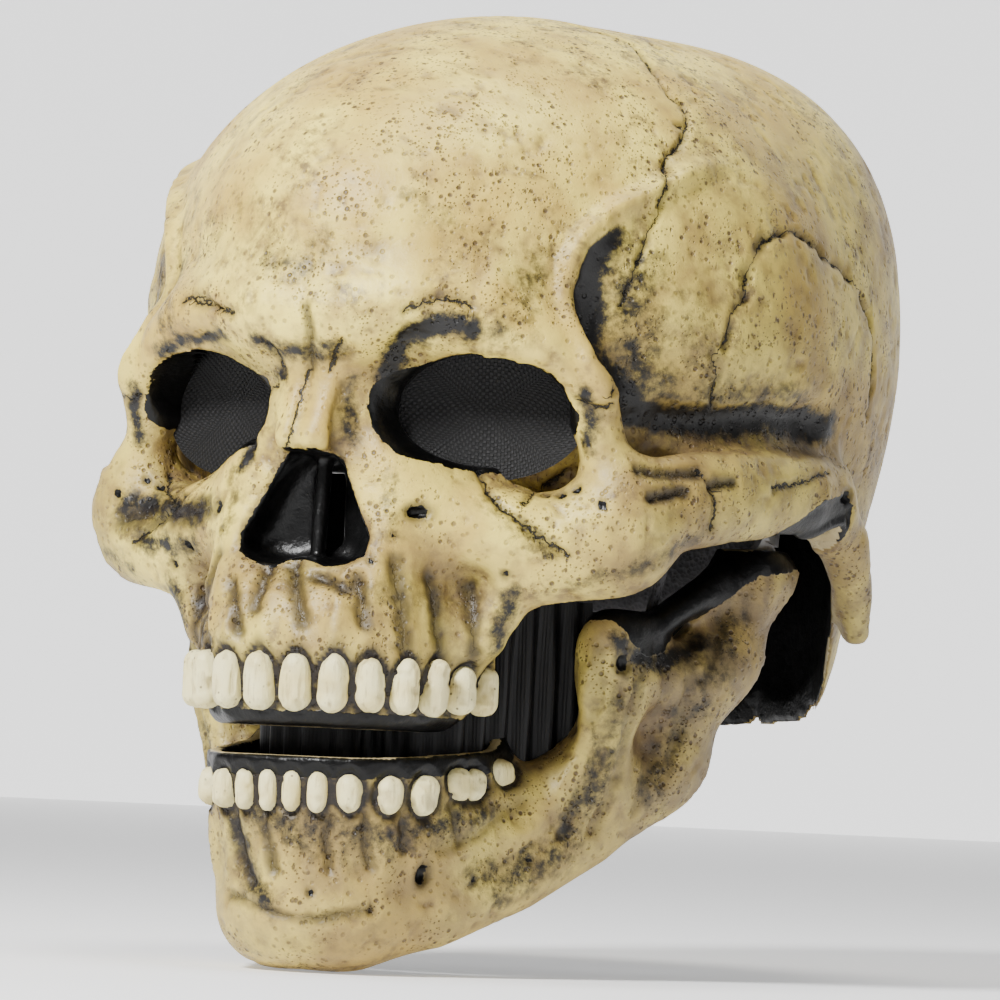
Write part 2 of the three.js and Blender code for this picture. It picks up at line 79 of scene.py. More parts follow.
# ------------------------------------------------------------------ distance fields
def rotm(r):
    a, b, c = np.radians(r)
    ca, sa, cb, sb, cc, sc = np.cos(a), np.sin(a), np.cos(b), np.sin(b), np.cos(c), np.sin(c)
    rx = np.array([[1, 0, 0], [0, ca, -sa], [0, sa, ca]])
    ry = np.array([[cb, 0, sb], [0, 1, 0], [-sb, 0, cb]])
    rz = np.array([[cc, -sc, 0], [sc, cc, 0], [0, 0, 1]])
    return rz @ ry @ rx


def local(p, c, rot):
    q = p - np.array(c, f32)
    return q @ rotm(rot).astype(f32) if any(rot) else q


def ell(p, c, r, rot):
    q = local(p, c, rot)
    r = np.array(r, f32)
    k0 = np.sqrt(((q / r) ** 2).sum(1))
    k1 = np.sqrt(((q / (r * r)) ** 2).sum(1))
    return k0 * (k0 - 1) / np.maximum(k1, 1e-9)


def rbox(q, h, rd):
    q = np.abs(q) - np.array(h, f32)
    return np.sqrt((np.maximum(q, 0) ** 2).sum(1)) + np.minimum(q.max(1), 0) - rd


def tube(p, pts, sc):
    s = np.array(sc, f32)
    q = p * s
    out = None
    pts = [(np.array(a[:3], f32) * s, a[3]) for a in pts]
    for (a, ra), (b, rb) in zip(pts, pts[1:]):
        ba = b - a
        t = np.clip(((q - a) @ ba) / float(ba @ ba), 0, 1)
        d = np.sqrt(((q - a - t[:, None] * ba) ** 2).sum(1)) - (ra + (rb - ra) * t)
        out = d if out is None else np.minimum(out, d)
    return out / max(sc)


def smin(a, b, k):
    if k <= 0:
        return np.minimum(a, b)
    h = np.maximum(k - np.abs(a - b), 0) / k
    return np.minimum(a, b) - h * h * k * 0.25


def smax(a, b, k):
    return -smin(-a, -b, k)


def field(p, table):
    q = p.copy()
    q[:, 0] = np.abs(q[:, 0])
    out = None
    for op, k, kind, *d in table:
        v = ell(q, *d) if kind == "E" else tube(q, *d)
        if out is None:
            out = v
        elif op == "u":
            out = smin(out, v, k)
        else:
            out = smax(out, -v, k)
    return out


def poly(y, z, pts):
    """Signed distance to a polygon in a plane, negative inside."""
    d = np.full(y.shape, 1e9, f32)
    s = np.ones(y.shape, f32)
    for i in range(len(pts)):
        (ay, az), (by, bz) = pts[i], pts[i - 1]
        ey, ez = by - ay, bz - az
        wy, wz = y - ay, z - az
        t = np.clip((wy * ey + wz * ez) / (ey * ey + ez * ez), 0, 1)
        d = np.minimum(d, (wy - ey * t) ** 2 + (wz - ez * t) ** 2)
        c1, c2, c3 = z >= az, z < bz, ey * wz > ez * wy
        s = np.where((c1 & c2 & c3) | (~c1 & ~c2 & ~c3), -s, s)
    return s * np.sqrt(d)


LAT = np.random.RandomState(11).rand(32, 32, 32).astype(f32)


def noise(p, wave, seed=0):
    """Smooth lattice noise, 0 to 1, with that wavelength in mm."""
    q = p / wave + seed * 7.37 + 900
    i = np.floor(q).astype(np.int32)
    f = (q - i).astype(f32)
    f = f * f * (3 - 2 * f)
    i &= 31
    j = (i + 1) & 31
    x0, y0, z0, x1, y1, z1 = i[:, 0], i[:, 1], i[:, 2], j[:, 0], j[:, 1], j[:, 2]
    fx, fy, fz = f[:, 0], f[:, 1], f[:, 2]
    a = LAT[x0, y0, z0] * (1 - fx) + LAT[x1, y0, z0] * fx
    b = LAT[x0, y1, z0] * (1 - fx) + LAT[x1, y1, z0] * fx
    c = LAT[x0, y0, z1] * (1 - fx) + LAT[x1, y0, z1] * fx
    d = LAT[x0, y1, z1] * (1 - fx) + LAT[x1, y1, z1] * fx
    return (a * (1 - fy) + b * fy) * (1 - fz) + (c * (1 - fy) + d * fy) * fz


def ramp(v, a, b):
    t = np.clip((v - a) / (b - a), 0, 1)
    return t * t * (3 - 2 * t)


# ------------------------------------------------------------------ shapes, on |x|
SKULL = [
    ("u", 0, "E", (0, -8, 50.4), (105.8, 106.9, 94.1), (0, 0, 0)),                  # brain case
    ("u", 30, "E", (0, 47, 37.8), (97.5, 79.2, 71.9), (0, 0, 0)),                   # back of the head
    ("u", 24, "E", (0, -53, 69.3), (63.3, 77.4, 51.9), (0, 0, 0)),                  # forehead
    ("u", 30, "E", (33.1, 47.1, 83.3), (60, 55.4, 54.6), (0, 0, 0)),                # parietal bulge
    ("u", 26, "E", (0, 44, -20), (88, 72, 92), (0, 0, 0)),                          # nape
    ("u", 20, "T", [(0, -104, 40, 20), (0, -92, 0, 34), (0, -92, -30, 36), (0, -96, -46, 32)], (1, 1, 1)),
    ("u", 12, "T", [(0, -125, 44, 10), (14, -124, 46, 11), (28, -119, 49, 11), (44, -110, 47, 11), (60, -101, 39, 9), (71, -93, 29, 7)], (1, 1, 1)),
    ("u", 8, "T", [(71, -93, 29, 7), (73, -88, 12, 7), (76, -85, -2, 9)], (1, 1, 1)),
    ("u", 12, "E", (77, -81, -13), (14, 12, 15), (0, 0, 20)),
    ("u", 14, "T", [(22, -106, -6, 13), (36, -103, -12, 13), (50, -97, -14, 13), (66, -87, -16, 12)], (1, 1, 1)),
    ("u", 6, "T", [(5, -117, 30, 7), (4, -124, 18, 7), (3.5, -129, 11, 5.5)], (1, 1, 1)),
    ("u", 12, "T", [(18, -112, 18, 6), (22, -114, -4, 7), (22, -120, -26, 8)], (1, 1, 1)),
    ("u", 10, "T", [(0, -126, -50, 14), (14, -125, -50, 14), (22, -119, -50, 13.5), (26, -110, -50, 13), (28, -98, -50, 12.5), (29, -88, -50, 12.5)], (1, 1, 0.6)),
    ("u", 10, "T", [(68, -88, -20, 8), (52, -98, -30, 6), (44, -100, -42, 7)], (1, 1, 1)),
    ("u", 6, "T", [(80, -84, -8, 11), (88, -70, -2, 9), (94, -52, 1, 8.5), (98, -30, 3, 8), (101, -8, 4, 8), (98, 10, 4, 9)], (1, 1, 0.62)),
    ("u", 8, "T", [(98, 10, 4, 8), (99, 26, -8, 8), (97, 40, -24, 6), (96, 46, -34, 4)], (1, 1, 1)),
]
ORBIT = ((45, -122, 21), (27, 30, 16), (0, 0, -24))
NOSE = [(0, 6.5), (5, 7), (9, 3.5), (12, -2), (16, -10), (19.5, -16.5), (19, -21), (14, -23.5), (8, -24), (3, -22.5), (0, -22)]
SEPTUM = ([(0, -116, 8, 2.4), (0, -118, -20, 2.4)], (1, 1, 1))
JAW = [
    ("u", 0, "T", [(0, -115, -106, 17), (16, -110, -104, 15), (28, -94, -100, 12), (36, -76, -96, 11), (47, -58, -89, 11), (58, -38, -80, 10)], (1, 1, 0.8)),
    ("u", 10, "E", (0, -116, -121), (24, 18, 17), (0, 0, 0)),
    ("u", 10, "T", [(14, -110, -124, 12), (28, -94, -120, 11), (42, -70, -110, 10), (54, -48, -97, 9), (63, -28, -80, 9), (76, 12, -72, 9)], (1, 1, 1)),
    ("u", 10, "T", [(0, -126, -80, 10), (10, -125.5, -80, 10), (17, -122.5, -80, 10), (22, -116.5, -80, 10), (25.5, -107, -80, 10), (28.5, -95, -80, 10), (31, -84, -80, 10), (31, -76, -80, 10)], (1, 1, 0.5)),
    ("u", 12, "T", [(63, -60, -44, 7), (64, -56, -62, 8), (58, -54, -80, 9)], (1, 1, 1)),
    ("u", 14, "T", [(80, 0, -20, 9), (76, -12, -40, 9), (71, -22, -62, 9), (63, -28, -80, 9)], (1, 1, 1)),
    ("u", 14, "T", [(64, -50, -50, 9), (72, -26, -50, 9), (84, 20, -44, 9)], (1, 1, 1)),
    ("u", 14, "T", [(80, 0, -20, 9), (84, 24, -20, 9)], (1, 1, 1)),
    ("u", 8, "T", [(65, -62, -38, 5), (70, -42, -36, 4), (77, -16, -23, 5)], (1, 1, 1)),   # web of the jaw notch
]
# Outline of what is cut away under the skull, and of what is kept of the jaw, side on: (y, z).
CUT_SKULL = [(-170, -70), (-84, -70), (-78, -58), (-66, -38), (-30, -20), (0, -6), (8, -4), (22, -22), (42, -38), (51, -37),
             (58, -50), (75, -60), (110, -64), (170, -64), (170, -200), (-170, -200)]
KEEP_JAW = [(-170, -78.3), (-130, -78), (-118, -77.3), (-106, -76.3), (-92, -75.2), (-80, -74), (-74, -70), (-70, -50), (-68, -34), (-56, -30), (-44, -26), (-30, -21), (-14, -14),
            (-6, -12), (8, -12), (12, -18), (2, -34), (-6, -52), (-14, -72), (-20, -90), (-36, -106), (-60, -124),
            (-84, -140), (-170, -150)]
# Open throat of the skull and open inside of the jaw, from above: (x, y).
THROAT = [(0, -112), (20, -108), (36, -94), (42, -78), (54, -68), (76, -62), (85, -44), (89.5, -14), (90, 7), (94, 12), (94, 30),
          (87, 48), (70, 76), (42, 98), (0, 106)]
JAW_OPEN = [(-1, -112), (14, -109), (23, -98), (28, -84), (34, -73), (45, -58), (56, -46), (62, -30), (70, -12), (75, 0), (79, 24), (79, 60), (-1, 60)]
JAW_NOTCH = [(-78, -28), (-67, -36), (-61, -42), (-52, -45.5), (-43, -44), (-30, -37), (-18, -28), (-9, -20), (12, -17), (22, 0), (-78, 0)]
EYE = dict(at=(43, -104, 21), yaw=22.0, hx=24.5, hz=15.6)
UPPER = [(6, -142.6, 9.4), (18, -140.9, 9.0), (28.2, -135.5, 8.4), (36.3, -127, 7.9), (41.3, -116.3, 7.9), (43.6, -104, 9.2), (44.2, -90.5, 7.8)]
LOWER = [(3.8, -136.6, 5.8), (12, -136, 6.0), (21.5, -132.8, 7.6), (31, -124.4, 8.2), (37.2, -112.8, 9.0), (40.9, -95.5, 15.4), (43.6, -78.5, 11.5)]


# Grooves and ridges: (name, skin, half width, depth, darkness, wander, points), mm
GROOVES = [
    ('crest', 's', 3.4, -3.4, 0, 0.2, [(79.4000015258789, -95.69999694824219, 26.200000762939453), (74.19999694824219, -100.19999694824219, 35.29999923706055), (67.5999984741211, -99.0999984741211, 45.400001525878906), (63.29999923706055, -96.9000015258789, 55.70000076293945), (63.79999923706055, -95.5999984741211, 63.70000076293945), (65.69999694824219, -92.4000015258789, 70.80000305175781), (70.5, -83.5999984741211, 78.80000305175781), (77.9000015258789, -68.0, 86.9000015258789), (82.80000305175781, -52.0, 94.30000305175781), (86.4000015258789, -35.79999923706055, 99.0)]),
    ('coronal', 's', 1.25, 1.7, 1, 1.9, [(20.299999237060547, -21.200000762939453, 142.0), (32.5, -23.799999237060547, 138.89999389648438), (43.900001525878906, -20.0, 135.39999389648438), (52.599998474121094, -27.799999237060547, 130.1999969482422), (60.599998474121094, -34.099998474121094, 124.0), (65.0999984741211, -37.900001525878906, 119.69999694824219), (71.4000015258789, -42.70000076293945, 112.69999694824219), (75.19999694824219, -48.29999923706055, 106.30000305175781), (76.0999984741211, -57.29999923706055, 99.5), (76.0999984741211, -61.599998474121094, 96.19999694824219), (78.9000015258789, -64.9000015258789, 88.69999694824219), (78.5999984741211, -72.30000305175781, 79.30000305175781), (77.4000015258789, -77.69999694824219, 71.69999694824219), (77.80000305175781, -80.0, 61.599998474121094), (75.5999984741211, -83.19999694824219, 54.20000076293945)]),
    ('squamous', 's', 1.25, 1.7, 1, 1.7, [(92.19999694824219, -53.20000076293945, 26.899999618530273), (93.0999984741211, -55.20000076293945, 33.900001525878906), (92.9000015258789, -57.599998474121094, 39.5), (95.4000015258789, -54.099998474121094, 46.900001525878906), (96.0, -52.70000076293945, 54.20000076293945), (96.69999694824219, -50.0, 60.099998474121094), (97.0, -45.900001525878906, 67.69999694824219), (97.30000305175781, -40.20000076293945, 74.0), (98.19999694824219, -31.799999237060547, 78.5), (100.0999984741211, -18.100000381469727, 79.5999984741211), (102.19999694824219, -4.099999904632568, 74.5), (103.19999694824219, 5.400000095367432, 71.0), (104.30000305175781, 18.5, 65.80000305175781), (105.0999984741211, 23.600000381469727, 57.900001525878906), (105.19999694824219, 27.0, 50.79999923706055), (104.9000015258789, 31.0, 43.70000076293945), (103.5999984741211, 29.899999618530273, 31.100000381469727)]),
    ('brow_r', 's', 1.3, 1.5, 0.9, 0.5, [(-40.099998474121094, -125.0999984741211, 48.79999923706055), (-33.0, -129.0, 47.900001525878906), (-23.899999618530273, -132.39999389648438, 45.70000076293945)]),
    ('brow_l', 's', 1.3, 1.3, 0.85, 0.5, [(30.200000762939453, -130.10000610351562, 46.900001525878906), (35.20000076293945, -127.9000015258789, 49.70000076293945), (39.79999923706055, -124.9000015258789, 51.099998474121094), (46.0, -121.5999984741211, 49.20000076293945)]),
    ('glab', 's', 1.5, 1.6, 0.8, 0.4, [(2.0, -135.8000030517578, 47.29999923706055), (2.9000000953674316, -135.89999389648438, 44.0), (2.5999999046325684, -134.1999969482422, 37.900001525878906), (0.30000001192092896, -128.5, 29.899999618530273)]),
    ('wr1', 's', 1.1, 1.1, 0.6, 0.4, [(-14.399999618530273, -132.6999969482422, 37.900001525878906), (-9.800000190734863, -130.89999389648438, 34.70000076293945), (-9.100000381469727, -127.5999984741211, 30.5)]),
    ('wr2', 's', 1.1, 1.1, 0.6, 0.4, [(12.399999618530273, -133.10000610351562, 38.099998474121094), (9.300000190734863, -130.39999389648438, 34.099998474121094), (6.5, -128.10000610351562, 29.5)]),
    ('nas_l', 's', 1.6, 1.4, 0.6, 0.4, [(10.199999809265137, -126.4000015258789, 26.0), (9.199999809265137, -128.6999969482422, 18.799999237060547), (9.0, -128.6999969482422, 10.399999618530273), (8.600000381469727, -124.5, 2.299999952316284)]),
    ('nas_r', 's', 1.3, 1.2, 0.6, 0.3, [(-12.199999809265137, -125.0, 25.799999237060547), (-30.600000381469727, -98.4000015258789, 19.0), (-20.200000762939453, -122.69999694824219, 8.899999618530273)]),
    ('nas_m', 's', 0.9, 0.7, 0.5, 0.3, [(-0.4000000059604645, -128.3000030517578, 29.399999618530273), (-1.7000000476837158, -129.8000030517578, 21.399999618530273), (-1.600000023841858, -133.89999389648438, 12.699999809265137), (-3.200000047683716, -133.39999389648438, 8.199999809265137)]),
    ('zygmax', 's', 1.3, 1.5, 0.95, 0.9, [(41.29999923706055, -101.0999984741211, 4.400000095367432), (46.20000076293945, -105.9000015258789, -1.5), (51.29999923706055, -107.69999694824219, -5.699999809265137), (57.29999923706055, -106.80000305175781, -9.699999809265137), (63.79999923706055, -103.5999984741211, -14.899999618530273), (70.30000305175781, -100.69999694824219, -18.799999237060547)]),
    ('crease', 's', 1.2, 1.1, 0.8, 0.5, [(56.70000076293945, -102.80000305175781, -4.400000095367432), (53.5, -83.9000015258789, 1.399999976158142), (58.900001525878906, -81.0999984741211, 5.400000095367432)]),
    ('rband', 's', 3.6, 1.4, 0.85, 0.8, [(-74.5999984741211, -99.19999694824219, -12.300000190734863), (-63.099998474121094, -103.19999694824219, -11.100000381469727), (-48.70000076293945, -111.5, -10.699999809265137), (-37.900001525878906, -116.30000305175781, -9.0)]),
    ('rcrack', 's', 1.1, 1.2, 0.9, 0.5, [(-64.0999984741211, -89.80000305175781, 2.0999999046325684), (-61.900001525878906, -95.69999694824219, -2.0), (-55.79999923706055, -105.5999984741211, -6.199999809265137)]),
    ('ah1', 's', 1.9, 2.0, 0.9, 0.5, [(85.5999984741211, -89.69999694824219, 6.0), (90.19999694824219, -81.0, 5.800000190734863), (95.30000305175781, -71.69999694824219, 6.199999809265137)]),
    ('ah2', 's', 1.9, 2.0, 0.95, 0.5, [(89.69999694824219, -89.19999694824219, -1.7999999523162842), (92.0999984741211, -83.0, -0.5), (94.5999984741211, -76.5, 0.5)]),
    ('ah3', 's', 1.8, 1.9, 0.9, 0.4, [(97.80000305175781, -67.4000015258789, 2.799999952316284), (99.4000015258789, -62.0, 4.0), (100.80000305175781, -57.5, 4.599999904632568)]),
    ('ah4', 's', 1.1, 1.1, 0.8, 0.5, [(104.5999984741211, -38.599998474121094, 4.400000095367432), (106.5, -25.0, 6.699999809265137), (107.5, -5.699999809265137, 11.100000381469727)]),
    ('mx1', 's', 2.2, 1.9, 0.85, 0.5, [(-8.899999618530273, -130.6999969482422, -25.5), (-8.600000381469727, -134.3000030517578, -30.899999618530273), (-8.600000381469727, -137.10000610351562, -37.20000076293945)]),
    ('mx2', 's', 2.3, 2.1, 0.85, 0.5, [(-1.399999976158142, -130.60000610351562, -24.399999618530273), (2.700000047683716, -135.10000610351562, -32.099998474121094), (6.699999809265137, -138.3000030517578, -40.400001525878906)]),
    ('mx3', 's', 2.0, 1.7, 0.85, 0.4, [(-18.5, -133.1999969482422, -30.299999237060547), (-15.399999618530273, -136.5, -36.79999923706055), (-13.199999809265137, -138.60000610351562, -43.900001525878906)]),
    ('mx4', 's', 2.0, 1.6, 0.85, 0.4, [(7.300000190734863, -132.39999389648438, -27.600000381469727), (12.199999809265137, -133.10000610351562, -28.899999618530273), (17.200000762939453, -134.10000610351562, -31.600000381469727)]),
    ('mx5', 's', 2.1, 1.8, 0.85, 0.5, [(20.0, -132.0, -28.399999618530273), (22.0, -132.8000030517578, -34.20000076293945), (23.700000762939453, -133.60000610351562, -40.599998474121094)]),
    ('mx6', 's', 2.5, 2.1, 0.85, 0.5, [(28.700000762939453, -126.19999694824219, -23.100000381469727), (31.100000381469727, -125.5999984741211, -33.599998474121094), (33.20000076293945, -126.4000015258789, -47.20000076293945)]),
    ('mx7', 's', 2.3, 2.0, 0.85, 0.5, [(34.79999923706055, -116.19999694824219, -27.200000762939453), (36.400001525878906, -114.5999984741211, -37.20000076293945), (38.099998474121094, -114.5, -48.29999923706055)]),
    ('mx8', 's', 2.1, 1.6, 0.85, 0.5, [(41.599998474121094, -104.5, -29.600000381469727), (44.20000076293945, -107.0999984741211, -38.0), (44.5, -106.0999984741211, -46.900001525878906)]),
    ('mx9', 's', 1.9, 1.4, 0.6, 0.5, [(-42.900001525878906, -105.0, -32.0), (-28.899999618530273, -129.10000610351562, -39.70000076293945), (-25.399999618530273, -133.5, -46.900001525878906)]),
    ('bm1', 's', 1.2, 1.1, 0.7, 0.5, [(68.80000305175781, -94.30000305175781, 44.70000076293945), (74.19999694824219, -95.19999694824219, 38.5), (79.0999984741211, -96.5999984741211, 27.200000762939453)]),
    ('zf', 's', 1.1, 1.2, 0.8, 0.5, [(70.69999694824219, -100.5999984741211, 24.0), (74.9000015258789, -99.0999984741211, 22.5), (78.80000305175781, -95.5999984741211, 23.700000762939453)]),
    ('zt', 's', 1.2, 1.2, 0.8, 0.6, [(95.19999694824219, -70.30000305175781, 7.400000095367432), (98.5999984741211, -66.0, -0.800000011920929), (97.19999694824219, -64.69999694824219, -9.199999809265137)]),
    ('ch1', 'j', 2.0, 1.7, 0.85, 0.5, [(-16.700000762939453, -130.5, -95.5999984741211), (-14.0, -129.89999389648438, -105.30000305175781), (-8.899999618530273, -132.60000610351562, -113.4000015258789)]),
    ('ch2', 'j', 1.7, 1.4, 0.8, 0.5, [(-5.400000095367432, -134.0, -94.30000305175781), (-3.299999952316284, -133.5, -102.0), (-0.4000000059604645, -134.0, -110.19999694824219)]),
    ('ch3', 'j', 1.5, 1.2, 0.7, 0.5, [(14.899999618530273, -131.6999969482422, -94.19999694824219), (13.399999618530273, -130.60000610351562, -101.19999694824219), (14.5, -129.60000610351562, -108.9000015258789)]),
    ('ch4', 'j', 1.5, 1.3, 0.7, 0.5, [(23.5, -127.30000305175781, -93.80000305175781), (22.799999237060547, -125.69999694824219, -102.0999984741211), (24.399999618530273, -123.30000305175781, -108.4000015258789)]),
    ('ch5', 'j', 1.5, 1.2, 0.7, 0.5, [(31.200000762939453, -118.0, -92.5), (31.200000762939453, -116.80000305175781, -98.9000015258789), (30.799999237060547, -116.69999694824219, -103.0999984741211)]),
    ('ch6', 'j', 1.5, 1.2, 0.7, 0.5, [(37.900001525878906, -102.19999694824219, -90.0), (38.79999923706055, -101.0999984741211, -95.5999984741211), (39.79999923706055, -98.5999984741211, -100.30000305175781)]),
    ('ms1', 'j', 1.5, 1.4, 0.75, 0.7, [(-16.899999618530273, -129.3000030517578, -118.0), (-1.2000000476837158, -134.39999389648438, -122.0), (13.0, -131.1999969482422, -122.9000015258789), (24.299999237060547, -123.0, -120.69999694824219)]),
    ('obl', 'j', 3.2, -1.6, 0, 0.4, [(65.4000015258789, -65.0, -39.099998474121094), (63.400001525878906, -67.0999984741211, -48.599998474121094), (59.79999923706055, -64.4000015258789, -58.599998474121094), (57.5, -64.5, -75.80000305175781), (53.70000076293945, -68.5, -87.4000015258789), (51.20000076293945, -72.5999984741211, -93.30000305175781), (44.900001525878906, -84.69999694824219, -102.19999694824219)]),
    ('ra1', 'j', 2.0, 1.2, 0.4, 0.8, [(69.80000305175781, -63.900001525878906, -55.400001525878906), (66.0, -62.400001525878906, -69.69999694824219), (62.0, -63.0, -84.19999694824219), (56.099998474121094, -65.80000305175781, -97.30000305175781)]),
    ('ra2', 'j', 2.0, 1.2, 0.4, 0.8, [(73.80000305175781, -58.29999923706055, -48.79999923706055), (72.30000305175781, -57.599998474121094, -63.70000076293945), (67.5999984741211, -56.5, -81.0), (61.70000076293945, -57.20000076293945, -95.5)]),
    ('ra3', 'j', 2.0, 1.0, 0.4, 0.8, [(74.9000015258789, -44.599998474121094, -46.599998474121094), (72.4000015258789, -40.400001525878906, -60.400001525878906), (70.30000305175781, -41.099998474121094, -74.80000305175781), (68.0, -45.599998474121094, -89.4000015258789)]),
    ('ra4', 'j', 2.0, 1.0, 0.4, 0.8, [(75.19999694824219, -27.700000762939453, -39.599998474121094), (79.0999984741211, -35.20000076293945, -51.29999923706055), (75.4000015258789, -32.5, -65.80000305175781), (73.30000305175781, -37.400001525878906, -80.4000015258789)]),
    ('ra5', 'j', 2.0, 0.9, 0.4, 0.8, [(80.0, -16.799999237060547, -30.299999237060547), (81.30000305175781, -23.100000381469727, -39.29999923706055), (81.5, -30.700000762939453, -51.099998474121094)]),
    ('ra6', 'j', 2.0, 0.9, 0.4, 0.8, [(65.0999984741211, -67.19999694824219, -44.29999923706055), (64.5, -66.0, -55.70000076293945), (62.70000076293945, -64.0, -64.19999694824219)]),
    ('ra7', 'j', 2.0, 1.0, 0.4, 0.6, [(47.0, -77.5, -87.9000015258789), (42.20000076293945, -92.4000015258789, -97.30000305175781), (36.29999923706055, -105.19999694824219, -102.69999694824219)]),
]
